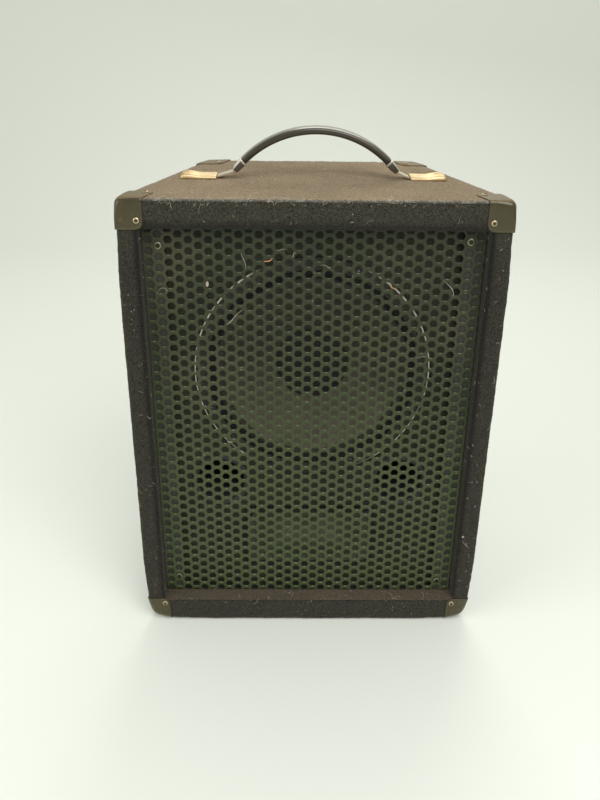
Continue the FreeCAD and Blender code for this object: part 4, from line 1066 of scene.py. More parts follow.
def pan_head(radius, height):
    """A grid bent into a disc, domed; inside the cross it is sunk, and its rim drops to the seat."""
    line = np.concatenate([-RECESS_LINES[:0:-1], RECESS_LINES])
    u, v = np.meshgrid(line, line, indexing="ij")
    x = u * np.sqrt(1 - v * v / 2)
    y = v * np.sqrt(1 - u * u / 2)
    far = np.minimum(x * x + y * y, 1.0)
    dome = HEAD_RIM + (1 - HEAD_RIM) * np.sqrt(np.maximum(1 - far * HEAD_FALL, 0))
    arm = (np.minimum(abs(u), abs(v)) <= ARM_HALF) & (np.maximum(abs(u), abs(v)) <= ARM_REACH)
    z = height * np.where(arm, dome - ARM_DEPTH * (1 - ARM_SLOPE * np.sqrt(far)), dome)
    top = np.stack([x * radius, y * radius, z], -1)
    seat = np.stack([x * radius, y * radius, np.full_like(z, HEAD_SEAT)], -1)
    return closed_slab(top, seat)


def set_screws(name, head, places, normals, slot, spin_seed=1):
    """Copies of a head at places in millimetres, each turned on to its normal and spun by a random angle."""
    points, groups = head
    places = np.asarray(places, float)
    normals = np.broadcast_to(unit(np.asarray(normals, float)), places.shape)
    spin = np.random.default_rng(spin_seed).uniform(0, np.pi / 2, len(places))
    first, second = tangents(normals, (1.0, 0.0, 0.0))
    across = first * np.cos(spin)[:, None] + second * np.sin(spin)[:, None]
    axes = np.stack([across, np.cross(normals, across), normals], 1)
    moved = places[:, None] + np.einsum("pk,nkc->npc", points, axes)
    copies = repeated(groups, len(places), len(points))
    reach = np.linalg.norm(points[:, :2], axis=1).max()
    # rim: the outer faces of each head, which screw finishes paint paler as a highlight.
    rim = [np.linalg.norm(points[group].mean(1)[:, :2], axis=1) > RIM_SHARE * reach for group in groups]
    marks = {"rim": np.concatenate([np.tile(part, len(places)) for part in rim])}
    add_piece(name, moved * MM, copies, slot, marks=marks)


def corner_screw_places():
    """One screw on each leg that shows: front or back, side and top, twenty in all."""
    spots = []
    for sx, sy in ((-1, -1), (-1, 1), (1, -1), (1, 1)):
        leg_y = sy * (BACK_Y - INSET)
        side_x = half_width(leg_y)
        for sz, inset in ((-1, LOW_INSET), (1, INSET)):
            leg_z = Z_MIDDLE + sz * (HALF_HEIGHT - inset)
            face_x = sx * (half_width(sy * BACK_Y) - INSET)
            spots.append(((face_x, sy * (BACK_Y + PROUD), leg_z), (0, sy, 0)))
            spots.append(((sx * (side_x + PROUD * SLANT), leg_y, leg_z), SIDE_NORMAL * (sx, 1, 1)))
        spots.append(((sx * (side_x - INSET), leg_y, Z_TOP + PROUD), (0, 0, 1)))
    return zip(*spots)


places, normals = corner_screw_places()
corner_head = pan_head(radius=3.0, height=1.9)
set_screws("corner_screws", corner_head, places, normals, "handle_metal", spin_seed=3)
SCREWS_XZ = ((-161.4, 474.8), (160.8, 480.8), (-161.4, 54.8), (160.8, 48.8))
GRILLE_SCREWS = [(x, GRILLE_FRONT_Y, z) for x, z in SCREWS_XZ]
grille_head = pan_head(radius=3.9, height=1.5)
set_screws("grille_screws", grille_head, GRILLE_SCREWS, (0, -1, 0), "handle_metal", spin_seed=5)

# %% [markdown]
# The corner screws were plated and have rusted in patches; those of the grille were painted over with it. On
# every head the outer ring is made paler, a painted highlight of the dome.

# %% Screw finishes


def screw_finish(name, plate, rim, rust_share):
    finish = Finish(name)
    cloud = finish.noise(420, 4.0, 0.7)
    rust = cloud.rise(0.62 - rust_share, 0.74 - rust_share)
    # The rim colour is a painted highlight on the outer ring of the head.
    base = finish.layers(plate, (finish.mark("rim"), rim), (rust, (0.20, 0.085, 0.045)))
    normal = finish.bump(cloud, 0.0002, 0.5)
    return finish.surface(base, 0.34 + 0.4 * rust, normal, Metallic=0.9 - 0.75 * rust)


dress(screw_finish("rusted_screw", (0.11, 0.085, 0.05), (0.52, 0.43, 0.28), 0.08), "corner_screws")
dress(screw_finish("olive_screw", (0.035, 0.036, 0.022), (0.20, 0.20, 0.135), 0.0), "grille_screws")
print("screws finished")

# %% [markdown]
# ## Handle
#
# The grip is a bowed bar of soft vinyl moulded round a steel strap. Its section, a rectangle with well
# rounded corners and a slightly crowned top, is carried along the arc of the bow. At both ends the section
# closes quickly, so that the bar ends in a rounded face under its ferrule.

# %% Grip
BOW_SHIFT = 2.6
HANDLE_RISE, END_RISE, HALF_SPAN = 50.7, 17.1, 80.0
SAGITTA = HANDLE_RISE - END_RISE
BOW_RADIUS = (HALF_SPAN**2 + SAGITTA**2) / (2 * SAGITTA)
BOW_CENTRE_Z = Z_TOP + HANDLE_RISE - BOW_RADIUS
GRIP_ANGLE = math.asin(HALF_SPAN / BOW_RADIUS)
GRIP_SECTION, GRIP_SQUARE, GRIP_CROWN = (12.0, 3.85), 4.0, 0.4
GRIP_STEPS, GRIP_ROUND, GRIP_END = 97, 56, 0.015


def squared_ring(half_size, power, count):
    """A closed outline between an ellipse and a rectangle: a higher power is squarer."""
    angle = np.arange(count) * 2 * np.pi / count
    way = np.stack([np.cos(angle), np.sin(angle)], 1)
    return half_size * np.sign(way) * abs(way) ** (2 / power)


def bowed_bar():
    """The section along the arc; near the ends it shrinks as the quarter of a circle does."""
    walk = np.linspace(-1, 1, GRIP_STEPS)[:, None]
    end = np.clip((abs(walk) - (1 - GRIP_END)) / GRIP_END, 0, 1)
    size = np.sqrt(1 - end**2)
    angle = walk * GRIP_ANGLE
    across, up = squared_ring(np.array(GRIP_SECTION), GRIP_SQUARE, GRIP_ROUND).T
    crown = GRIP_CROWN * (1 - (across / GRIP_SECTION[0]) ** 2) * (up > 0)
    radius = BOW_RADIUS + (up + crown) * size
    x = BOW_SHIFT + np.sin(angle) * radius
    z = BOW_CENTRE_Z + np.cos(angle) * radius
    return np.stack([x, across * size, z], -1) * MM


add_grid("handle_grip_vinyl", bowed_bar(), "grip", node="handle_grip", sharp=None)

# %% [markdown]
# Each end of the grip sits in a pressed ferrule: a tapering block with a raised collar on the grip's side. It
# is made the same way, rings along a straight line in the direction in which the strap leaves the bow.

# %% Ferrules
FERRULE_LENGTH, FERRULE_OVERLAP = 15.0, 2.0
FERRULE_SQUARE, FERRULE_ROUND = 9.0, 48
FERRULE_RINGS = np.array(
    [
        (0.00, 0.0, 0.0), (0.00, 11.9, 4.2), (0.02, 12.3, 4.6), (0.04, 12.4, 4.7), (0.12, 12.4, 4.7),
        (0.15, 12.2, 4.5), (0.17, 11.8, 4.1), (0.20, 11.8, 4.1), (0.62, 11.4, 3.8), (0.66, 11.2, 3.6),
        (0.92, 10.6, 3.0), (0.97, 10.2, 2.7), (1.00, 9.6, 2.1), (1.00, 0.0, 0.0),
    ]
)
HIGHLIGHT_TOP, HIGHLIGHT_END, COLLAR, COLLAR_HALF = 0.8, 0.85, 0.08, 0.07


def ferrule(side):
    """Rings of (share of the length, half width, half height), collar first, and a mark for painted
    highlights.
    """
    share, wide, high = (column[:, None] for column in FERRULE_RINGS.T)
    direction = np.array([math.cos(GRIP_ANGLE), -math.sin(GRIP_ANGLE)])
    across = np.array([math.sin(GRIP_ANGLE), math.cos(GRIP_ANGLE)])
    start = BOW_RADIUS * across + (0, BOW_CENTRE_Z) - direction * FERRULE_OVERLAP
    outline = squared_ring(1.0, FERRULE_SQUARE, FERRULE_ROUND)
    rise = outline[:, 1] * high
    along = start + share * FERRULE_LENGTH * direction
    x = BOW_SHIFT + side * (along[:, :1] + across[0] * rise)
    z = along[:, 1:] + across[1] * rise
    # Faces with a painted highlight: those that face up, the outer end and the collar.
    painted_highlight = (rise > HIGHLIGHT_TOP * high) | (share > HIGHLIGHT_END) | (abs(share - COLLAR) < COLLAR_HALF)
    return np.stack([x, outline[:, 0] * wide, z], -1) * MM, painted_highlight[:-1]


for word in SIDES:
    node = f"handle_ferrule_{word}"
    block, painted_highlight = ferrule(WAYS[word])
    add_grid(node + "_pressed", block, "handle_metal", node=node, sharp=30, marks={"painted_highlight": painted_highlight})

# %% [markdown]
# The strap's ends slide in two pressed end caps. A cap is an arch: its cross-section is half of a squared
# outline, and along its length the arch's height rises to a hump over the screw and closes at the outer end.
# A wall of sheet thickness is left by Solidify, so that the inner end stays open for the strap.

# %% End caps
CAP_START, CAP_LENGTH, CAP_HALF_WIDTH = 106.0, 40.0, 12.5
CAP_LOW, CAP_HIGH, CAP_SHEET, CAP_SUNK = 4.0, 5.9, 1.1, 0.1
CAP_STEPS, CAP_CLOSES, CAP_NARROW = (34, 11, 41), 0.88, 0.72
HUMP_FROM, HUMP_LENGTH = 0.42, 0.34
ARCH_POWERS = (0.36, 0.5)
CAP_SCREW_X, CAP_SCREW_SUNK = 137.0, 0.35


def end_cap(side):
    """Arches along x: height eases from low to the hump, and height and width close at the outer end."""
    run, bend, around = CAP_STEPS
    closing = 1 - CAP_CLOSES
    rounding = np.sin(np.linspace(0, np.pi / 2, bend))[1:]
    walk = np.concatenate([np.linspace(0, CAP_CLOSES, run), CAP_CLOSES + closing * rounding])[:, None]
    hump = eased(np.clip((walk - HUMP_FROM) / HUMP_LENGTH, 0, 1))
    close = np.sqrt(np.maximum(1 - np.clip((walk - CAP_CLOSES) / closing, 0, 1) ** 2, 0))
    height = (CAP_LOW + (CAP_HIGH - CAP_LOW) * hump) * close
    width = CAP_HALF_WIDTH * (CAP_NARROW + (1 - CAP_NARROW) * close)
    angle = np.linspace(0, np.pi, around)[None, :]
    y = width * np.sign(np.cos(angle)) * abs(np.cos(angle)) ** ARCH_POWERS[0]
    z = Z_TOP - CAP_SUNK + height * np.sin(angle) ** ARCH_POWERS[1]
    x = np.broadcast_to(CAP_START + CAP_LENGTH * walk, y.shape)
    return np.stack([side * x, y, z], -1) * MM


for word in SIDES:
    node = f"handle_plate_{word}"
    arch = end_cap(WAYS[word])
    cap = add_grid(node + "_pressed", arch, "handle_metal", columns_meet=False, node=node, sharp=None)
    add_wall(cap, CAP_SHEET, (0, 0, 1))

HANDLE_SCREWS = [(side * CAP_SCREW_X, 0, Z_TOP + CAP_HIGH - CAP_SCREW_SUNK) for side in (-1, 1)]
handle_head = pan_head(radius=4.2, height=1.4)
set_screws("handle_screws", handle_head, HANDLE_SCREWS, (0, 0, 1), "handle_metal", spin_seed=8)

# %% [markdown]
# Vinyl is dark with a low broad gloss, tinted warm as painted reflection, and a fine grain. The strap is
# plated steel, dulled by a brown film in places; the caps are gilt and worn brown at their outer ends, and
# the ferrules are dark with painted highlights on the faces that face up, on the collar and at the outer end.

# %% Handle finishes


def vinyl_finish():
    finish = Finish("grip_vinyl")
    smear = finish.noise(35, 3.0, 0.6)
    base = finish.layers((0.005, 0.0048, 0.004), (smear, (0.011, 0.010, 0.008)))
    normal = finish.bump(finish.cells(900), 0.00010, 0.3)
    gloss = {"Specular_IOR_Level": 0.6, "Coat_Weight": 0.8, "Coat_Roughness": 0.2}
    # Warm tints on the gloss: painted warm reflection.
    tint = {"Specular_Tint": (1.0, 0.94, 0.80), "Coat_Tint": (1.0, 0.94, 0.80)}
    return finish.surface(base, 0.26 + 0.12 * smear, normal, **gloss, **tint)


def plated_finish(name, tint, dull, highlight_tint=None, rough=0.26, worn_from=None):
    finish = Finish(name)
    brush = finish.noise(900, stretch=(0.05, 1.0, 1.0))
    stain = finish.noise(45, 3.0, 0.6).rise(0.42, 0.70)
    covers = [(stain * dull, (0.34, 0.25, 0.13))]
    if highlight_tint:
        covers.insert(0, (finish.mark("painted_highlight"), highlight_tint))
    if worn_from:
        worn = abs(finish.x).rise(worn_from, worn_from + 0.018)
        covers.append((worn * (0.35 + 0.5 * stain), (0.42, 0.25, 0.10)))
    rough = rough + 0.08 * brush + 0.22 * dull * stain
    normal = finish.bump(brush, 0.00003, 0.2)
    return finish.surface(finish.layers(tint, *covers), rough, normal, Metallic=1 - 0.3 * dull * stain)


dress(vinyl_finish(), "handle_grip_vinyl")
dress(plated_finish("plated_steel", (0.82, 0.74, 0.60), dull=0.2), "handle_strap")
gilt = plated_finish("gilt_plate", (0.80, 0.63, 0.36), dull=0.4, rough=0.46, worn_from=0.129)
dress(gilt, "handle_plate_left_pressed", "handle_plate_right_pressed", "handle_screws")
highlight_plate = (0.80, 0.74, 0.66)
dark_plate = plated_finish("dark_ferrule", (0.19, 0.19, 0.19), dull=0.15, highlight_tint=highlight_plate)
dress(dark_plate, "handle_ferrule_left_pressed", "handle_ferrule_right_pressed")
print("handle finished")

# %% [markdown]
# ## Drive unit behind the grille
#
# Everything round in the woofer is turned: a profile of radius and depth is carried round the axis. The cone
# is a paper sheet that bends inwards a little and has three pressed ribs; the cap is a shallow dome; the
# gasket is a flat ring of card. Closed profiles give closed rings, and one that meets the axis gives a pole.

# %% Turned pieces
WOOFER_Z = 330.0
TURN_STEPS = 96
CONE_EDGE, CONE_NECK = (99.0, -81.3), (25.6, -53.4)
CONE_STEPS, CONE_BOW, CONE_SHEET = 70, 1.6, 1.2
RIBS, RIB_WIDTH, RIB_HEIGHT = (86.0, 74.0, 62.0), 1.5, 0.7
DOME_RADIUS, DOME_Y, DOME_HEIGHT = 41.0, -59.4, 11.8
DOME_STEPS, DOME_POWER, DOME_SHEET = 24, 2.2, 0.9
GASKET_PROFILE = [
    (117, -80.5), (117, -82.9), (117.6, -83.5), (129.9, -83.5), (130.7, -83.1), (131, -82.3), (131, -80.5)
]


def turned(profile, axis, steps=TURN_STEPS, sweep=None):
    """A profile of (radius, depth) turned about an axis from front to back, all round or over a sweep."""
    angle = np.linspace(*(sweep or (0.0, 2 * np.pi)), steps, endpoint=bool(sweep))
    radius, depth = (column[:, None] for column in np.asarray(profile, float).T)
    x = axis[0] + radius * np.cos(angle)
    z = axis[1] + radius * np.sin(angle)
    return np.stack([x, np.broadcast_to(depth, x.shape), z], -1) * MM


def sheet_profile(radius, depth, thickness):
    """A sheet as a closed profile: the front line, then the back line the other way."""
    front = np.stack([radius, depth], 1)
    return np.vstack([front, front[::-1] + (0.0, thickness)])


def add_turned(name, profile, slot, node, body, axis=(0.0, WOOFER_Z), sharp=40):
    points = turned(profile, axis)
    return add_grid(name, points, slot, rows_meet=True, body=body, node=node, sharp=sharp)


radius = np.linspace(CONE_EDGE[0], CONE_NECK[0], CONE_STEPS)
share = (CONE_EDGE[0] - radius) / (CONE_EDGE[0] - CONE_NECK[0])
depth = CONE_EDGE[1] + (CONE_NECK[1] - CONE_EDGE[1]) * share + CONE_BOW * np.sin(np.pi * share)
depth -= RIB_HEIGHT * sum(np.exp(-(((radius - place) / RIB_WIDTH) ** 2)) for place in RIBS)
cone = sheet_profile(radius, depth, CONE_SHEET)
add_turned("woofer_cone_paper", cone, "cone_paper", "woofer_cone", "cone_assembly")

radius = np.linspace(DOME_RADIUS, 0.0, DOME_STEPS)
depth = DOME_Y - DOME_HEIGHT * (1 - (radius / DOME_RADIUS) ** DOME_POWER)
dome = sheet_profile(radius, depth, DOME_SHEET)
add_turned("woofer_dust_cap_dome", dome, "cone_paper", "woofer_dust_cap", "cone_assembly")
add_turned("woofer_gasket_card", GASKET_PROFILE, "gasket", "woofer_gasket", "cabinet", sharp=30)

# %% [markdown]
# Two soft rings hold the cone: the surround at its edge and the spider behind it. Each ring is cut into
# sectors, and each sector is a piece of its own that is put on no body.

# %% Surround and spider
SURROUND, SURROUND_Y, SURROUND_STEPS = (99.3, 116.9), -81.8, 45
SURROUND_ROLL, SURROUND_WAVES, SURROUND_SECTORS = 1.5, 1.5, 8
SPIDER, SPIDER_Y, SPIDER_STEPS = (26.6, 68.0), -35.3, 60
SPIDER_ROLL, SPIDER_WAVES, SPIDER_SECTORS = 1.6, 4.0, 4
CLOTH = 0.8


def soft_ring(name, node, profile, sectors):
    """Sectors of a turned ring, each a piece of its own on no body, with its transform baked."""
    half = np.pi / sectors
    names = [f"{name}_{number + 1}" for number in range(sectors)]
    for number, part in enumerate(names):
        middle = (number + 0.5) * 2 * np.pi / sectors
        points = turned(profile, (0.0, WOOFER_Z), TURN_STEPS // sectors + 1, (middle - half, middle + half))
        rows, columns = points.shape[:2]
        first = np.arange(rows)[None, :] * columns
        groups = [grid_faces(rows, columns, rows_meet=True), first, first[:, ::-1] + columns - 1]
        thing = add_piece(part, points, groups, "flex_cloth", body=None, node=node, sharp=60)
        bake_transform(thing)
    return names


radius = np.linspace(*SURROUND, SURROUND_STEPS)
share = (radius - SURROUND[0]) / (SURROUND[1] - SURROUND[0])
fade = np.sqrt(abs(np.sin(np.pi * share)))
depth = SURROUND_Y - SURROUND_ROLL * np.sin(2 * np.pi * share * SURROUND_WAVES) * fade
surround = sheet_profile(radius, depth, CLOTH)
surround_names = soft_ring("woofer_surround_cloth", "woofer_surround", surround, SURROUND_SECTORS)

radius = np.linspace(*SPIDER, SPIDER_STEPS)
share = (radius - SPIDER[0]) / (SPIDER[1] - SPIDER[0])
depth = SPIDER_Y - SPIDER_ROLL * np.sin(2 * np.pi * share * SPIDER_WAVES)
spider = sheet_profile(radius, depth, CLOTH)
spider_names = soft_ring("woofer_spider_cloth", "woofer_spider", spider, SPIDER_SECTORS)

# %% [markdown]
# The ports are tubes with a rolled lip. The horn is a grid of rounded rectangles: its flange, then its mouth,
# which closes to the throat along a curve that keeps the same share of shrinkage for each step of depth, as a
# horn's area should, and back along the outside. A section is carried round a rectangle, as for the carpet.
# Woofer and horn are held by pan-head screws through their flanges.

# %% Ports, horn and their screws
BAFFLE_Y = -78.5
PORT_X, PORT_Z, PORT_END = 106.07, 186.0, -8.5
PORT_BORE, PORT_OUTER, PORT_LIP = 27.6, 30.0, 34.4
LIP_MIDDLE, LIP_HALF, LIP_STEPS = (31.0, -78.4), (3.4, 2.6), 13
HORN_Z, HORN_CORNER, HORN_WAY = 107.5, 6.0, (24, 12, 5)
HORN_DEPTHS = np.linspace(-81.2, -18.5, 22)
HORN_MOUTH, HORN_THROAT = np.array([64.0, 28.0]), 12.0
HORN_SHEET, HORN_BEHIND = 3.0, -78.0
HORN_FLANGE = [(78.5, 41.5, BAFFLE_Y), (78.5, 41.5, -81.7), (77.7, 40.7, -82.5), (66.0, 30.0, -82.5)]
WOOFER_SCREWS, WOOFER_SCREWS_AT, WOOFER_SCREWS_Y = 8, 123.5, -83.5
HORN_SCREWS_Y, HORN_SCREWS_AT = -82.5, (71.5, 34.5)

turn = np.linspace(0, np.pi, LIP_STEPS)
lip = np.stack([LIP_MIDDLE[0] - LIP_HALF[0] * np.cos(turn), LIP_MIDDLE[1] - LIP_HALF[1] * np.sin(turn)], 1)
outside = [(PORT_LIP, BAFFLE_Y), (PORT_OUTER, BAFFLE_Y), (PORT_OUTER, PORT_END)]
port = np.vstack([[(PORT_BORE, PORT_END)], lip, outside])
for word in SIDES:
    node, axis = f"port_tube_{word}", (WAYS[word] * PORT_X, PORT_Z)
    add_turned(node + "_moulded", port, "moulded_plastic", node, "cabinet", axis)

share = (HORN_DEPTHS - HORN_DEPTHS[0]) / (HORN_DEPTHS[-1] - HORN_DEPTHS[0])
inside = np.column_stack([HORN_MOUTH * (HORN_THROAT / HORN_MOUTH) ** share[:, None], HORN_DEPTHS])
outside = inside[::-1] + (HORN_SHEET, HORN_SHEET, 0.0)
outside = outside[outside[:, 2] > HORN_BEHIND]
horn_section = np.vstack([HORN_FLANGE, inside, outside, [(*HORN_FLANGE[-1][:2], BAFFLE_Y)]])
horn = carried_round(horn_section, way_round(*HORN_WAY), HORN_CORNER, (0, HORN_Z))
add_grid("horn_flare_moulded", horn, "moulded_plastic", rows_meet=True, node="horn_flare")

angle = (np.arange(WOOFER_SCREWS) + 0.5) * 2 * np.pi / WOOFER_SCREWS
woofer_screws = np.column_stack([
    WOOFER_SCREWS_AT * np.cos(angle),
    np.full(WOOFER_SCREWS, WOOFER_SCREWS_Y),
    WOOFER_Z + WOOFER_SCREWS_AT * np.sin(angle),
])
x, z = HORN_SCREWS_AT
horn_screws = [(sx * x, HORN_SCREWS_Y, HORN_Z + sz * z) for sx in (-1, 1) for sz in (-1, 1)]
baffle_screws = np.vstack([woofer_screws, horn_screws])
baffle_head = pan_head(radius=3.8, height=2.0)
set_screws("baffle_screws", baffle_head, baffle_screws, (0, -1, 0), "motor_steel", spin_seed=9)

# %% [markdown]
# The finishes behind the grille are dark, because that is all that the holes show: painted baffle and cleats,
# grey cone paper with pressed fibres, paler and browner at the bottom with painted light and dust, black cap,
# and a surround whose outer part is darkened by a painted shadow of the gasket's edge. The horn is made paler
# deep inside, painted light against the shade of its throat, and its flange nearly black, painted shade. Only
# the raw outer edge of the gasket is pale, towards the sides and in patches. It shows as a thin bright ring,
# so its colour depends on the distance from the woofer's axis.

# %% Drive unit finishes


def paper_finish(name, dark, pale, dust=0.0):
    finish = Finish(name)
    fibre = finish.noise(260, 5.0, 0.7)
    stain = finish.noise(22, 3.0, 0.6)
    # Paler and browner towards the bottom of the cone: painted light where the lower half faces up towards
    # the light, and dust; the dust argument sets how much.
    dust_and_painted_light = (1 - finish.z.rise(0.255, 0.350)) * (0.55 + 0.45 * stain.rise(0.3, 0.7)) * dust
    base = finish.layers(dark, (fibre * stain.rise(0.2, 0.9), pale), (dust_and_painted_light, (0.17, 0.158, 0.105)))
    return finish.surface(base, 0.85, finish.bump(fibre, 0.0004))


def cloth_finish(name, dark, pale):
    finish = Finish(name)
    weave = 0.5 * finish.bands("X", 420.0) + 0.5 * finish.bands("Z", 420.0)
    return finish.surface(finish.layers(dark, (weave, pale)), 0.8, finish.bump(weave, 0.0003))


def from_axis(finish):
    """Distance from the woofer's axis."""
    up = finish.z - WOOFER_Z * MM
    return (finish.x * finish.x + up * up) ** 0.5


def surround_finish():
    finish = Finish("surround_cloth")
    weave = finish.noise(420, 3.0, 0.6)
    # rim: the surround's outer part, darkened as painted shadow of the gasket's inner edge.
    rim = from_axis(finish).rise(0.1055, 0.1085)
    base = finish.layers((0.030, 0.030, 0.021), (weave, (0.058, 0.056, 0.040)), (rim, (0.005, 0.005, 0.004)))
    return finish.surface(base, 0.8, finish.bump(weave, 0.0003))


def gasket_finish():
    finish = Finish("gasket_card")
    fibre = finish.noise(300, 4.0, 0.7)
    # The pale edge shows only towards the sides and in patches.
    pale_sides_in_patches = abs(finish.x).rise(0.045, 0.085) * (0.35 + 0.65 * finish.noise(55).rise(0.32, 0.52))
    raw = from_axis(finish).rise(0.1294, 0.1296) * pale_sides_in_patches
    base = finish.layers((0.030, 0.033, 0.021), (fibre, (0.058, 0.060, 0.041)), (raw, (0.92, 0.90, 0.70)))
    return finish.surface(base, 0.85, finish.bump(fibre, 0.0003))


def horn_finish():
    finish = Finish("horn_plastic")
    smear = finish.noise(30, 3.0, 0.6)
    inside = (abs(finish.x) < 0.0725) * (abs(finish.z - HORN_Z * MM) < 0.0355)
    base = finish.layers(
        (0.042, 0.053, 0.028),
        (smear, (0.068, 0.082, 0.045)),
        # Paler deeper in: painted light against the shade of the throat.
        (finish.y.rise(-0.080, -0.030), (0.30, 0.33, 0.21)),
        # The flange outside the mouth nearly black: painted shade at its edges.
        (1 - inside, (0.008, 0.008, 0.007)),
    )
    return finish.surface(base, 0.5 + 0.15 * smear, finish.bump(finish.noise(900), 0.0002, 0.6))


def paint_finish(name, dark, pale, roughness):
    finish = Finish(name)
    grain = finish.noise(400, 3.0, 0.6)
    cloud = finish.noise(12, 4.0, 0.6).rise(0.3, 0.75)
    base = finish.layers(dark, (cloud, pale), (grain.rise(0.66, 0.8) * 0.4, (0.16, 0.15, 0.12)))
    return finish.surface(base, roughness + 0.15 * grain, finish.bump(grain, 0.0003))


def plastic_finish(name, shade, roughness, grain_size):
    finish = Finish(name)
    smear = finish.noise(30, 3.0, 0.6)
    base = finish.layers((shade, shade, shade * 1.03), (smear, (shade * 1.9, shade * 1.9, shade * 1.85)))
    normal = finish.bump(finish.noise(grain_size), 0.0002, 0.6)
    return finish.surface(base, roughness + 0.15 * smear, normal)


cone_paper = paper_finish("cone_paper", (0.036, 0.036, 0.024), (0.085, 0.083, 0.056), 0.85)
dress(cone_paper, "woofer_cone_paper")
dress(paper_finish("cap_paper", (0.012, 0.013, 0.009), (0.028, 0.029, 0.020)), "woofer_dust_cap_dome")
dress(surround_finish(), *surround_names)
dress(cloth_finish("spider_cloth", (0.30, 0.20, 0.10), (0.48, 0.34, 0.18)), *spider_names)
dress(gasket_finish(), "woofer_gasket_card")
dress(paint_finish("baffle_paint", (0.019, 0.022, 0.010), (0.040, 0.045, 0.023), 0.65), "baffle")
cleat_paint = paint_finish("cleat_paint", (0.015, 0.016, 0.010), (0.027, 0.028, 0.018), 0.7)
dress(cleat_paint, "grille_cleat_left", "grille_cleat_right")
dress(paint_finish("basket_paint", (0.022, 0.022, 0.022), (0.040, 0.040, 0.039), 0.45), "woofer_basket")
port_plastic = plastic_finish("port_plastic", shade=0.032, roughness=0.42, grain_size=900)
dress(port_plastic, "port_tube_left_moulded", "port_tube_right_moulded")
dress(horn_finish(), "horn_flare_moulded")
dress(screw_finish("black_screw", (0.05, 0.05, 0.05), (0.10, 0.10, 0.10), 0.0), "baffle_screws")
print("drive unit finished")

# %% [markdown]
# ## Inside the box
#
# These pieces never show in the finished cabinet, but a part in a library gets taken apart, so each has its
# own finish too: plywood, painted black in front of the baffle, ferrite, plated steel, copper, circuit board
# and leads. The three boards at the lower corners are shown as copies with clipped corners, so that they stay
# inside the round corners of the protectors.

# %% Inside finishes
CORNER_CUT = 14.5
CLIPPED = ("bottom_panel", "left_side_panel", "right_side_panel")


def plywood_finish():
    finish = Finish("plywood")
    figure = finish.noise(30, 5.0, 0.6, stretch=(1.0, 1.0, 0.12))
    pores = finish.noise(600, 2.0, 0.6, stretch=(1.0, 1.0, 0.05))
    base = finish.layers(
        (0.46, 0.31, 0.17),
        (figure.rise(0.3, 0.7), (0.66, 0.49, 0.30)),
        (pores.rise(0.6, 0.75) * 0.5, (0.26, 0.16, 0.08)),
        (1 - finish.y.rise(-0.0605, -0.0600), (0.030, 0.032, 0.024)),
    )
    return finish.surface(base, 0.7, finish.bump(pores, 0.0002, 0.6))


def copper_finish():
    finish = Finish("copper_wire")
    tarnish = finish.noise(150, 3.0, 0.6)
    base = finish.layers((0.72, 0.40, 0.22), (tarnish.rise(0.4, 0.8), (0.42, 0.20, 0.10)))
    turns = finish.bump(finish.bands("Y", 300.0), 0.0005)
    return finish.surface(base, 0.3 + 0.25 * tarnish, turns, Metallic=0.9)


def board_finish():
    finish = Finish("circuit_board")
    weave = finish.cells(700)
    base = finish.layers((0.02, 0.09, 0.04), (finish.noise(60).rise(0.52, 0.54), (0.035, 0.14, 0.06)))
    return finish.surface(base, 0.35 + 0.1 * weave, finish.bump(weave, 0.0001))


def sheath_finish():
    finish = Finish("lead_sheath")
    smear = finish.noise(200, 3.0, 0.6)
    base = finish.layers((0.32, 0.03, 0.025), (finish.x.rise(-0.0001, 0.0001), (0.02, 0.02, 0.02)))
    return finish.surface(base, 0.4 + 0.2 * smear, finish.bump(smear, 0.0002, 0.4))


def corner_cuts():
    """Planes across the four lower corners, square to the line from the ball's middle to the corner."""
    for sx, sy in ((-1, -1), (-1, 1), (1, -1), (1, 1)):
        away = Vector((sx, sy, -1)).normalized()
        corner = Vector((sx * float(half_width(sy * BACK_Y)), sy * BACK_Y, BASE_Z))
        yield (corner - away * CORNER_CUT) * MM, away


for node in CLIPPED:
    board = placed(node + "_clipped", bpy.data.objects[node].data.copy())
    trimmed(board.data, corner_cuts())
    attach(board, "cabinet")
    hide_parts(node)

BOARDS = [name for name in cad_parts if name.endswith("_panel") or "batten" in name]
BOARDS += [node + "_clipped" for node in CLIPPED]
dress(plywood_finish(), *BOARDS)
dress(copper_finish(), "voice_coil", "crossover_coil")
dress(board_finish(), "crossover_board")
dress(sheath_finish(), "woofer_lead", "horn_lead")
dress(paint_finish("ferrite", (0.05, 0.05, 0.053), (0.09, 0.09, 0.095), 0.7), "woofer_magnet")
dress(plated_finish("zinc_plate", (0.55, 0.55, 0.52), 0.25), "woofer_top_plate", "woofer_yoke")
dress(paint_finish("driver_paint", (0.02, 0.02, 0.022), (0.045, 0.045, 0.047), 0.4), "horn_driver")
terminal_plastic = plastic_finish("terminal_plastic", shade=0.03, roughness=0.5, grain_size=700)
dress(terminal_plastic, "woofer_terminal")
print(len(BOARDS), "boards finished")

# %% [markdown]
# ## Back
#
# The connector dish is a moulded cup with a flange. It is again a section carried round a rectangle: over the
# flange, down the cup's sloping wall, round into its floor and on to the middle, where all rings end in one
# pole. Solidify gives it the wall inside the box. Two nuts with washers hold the jacks in its floor.

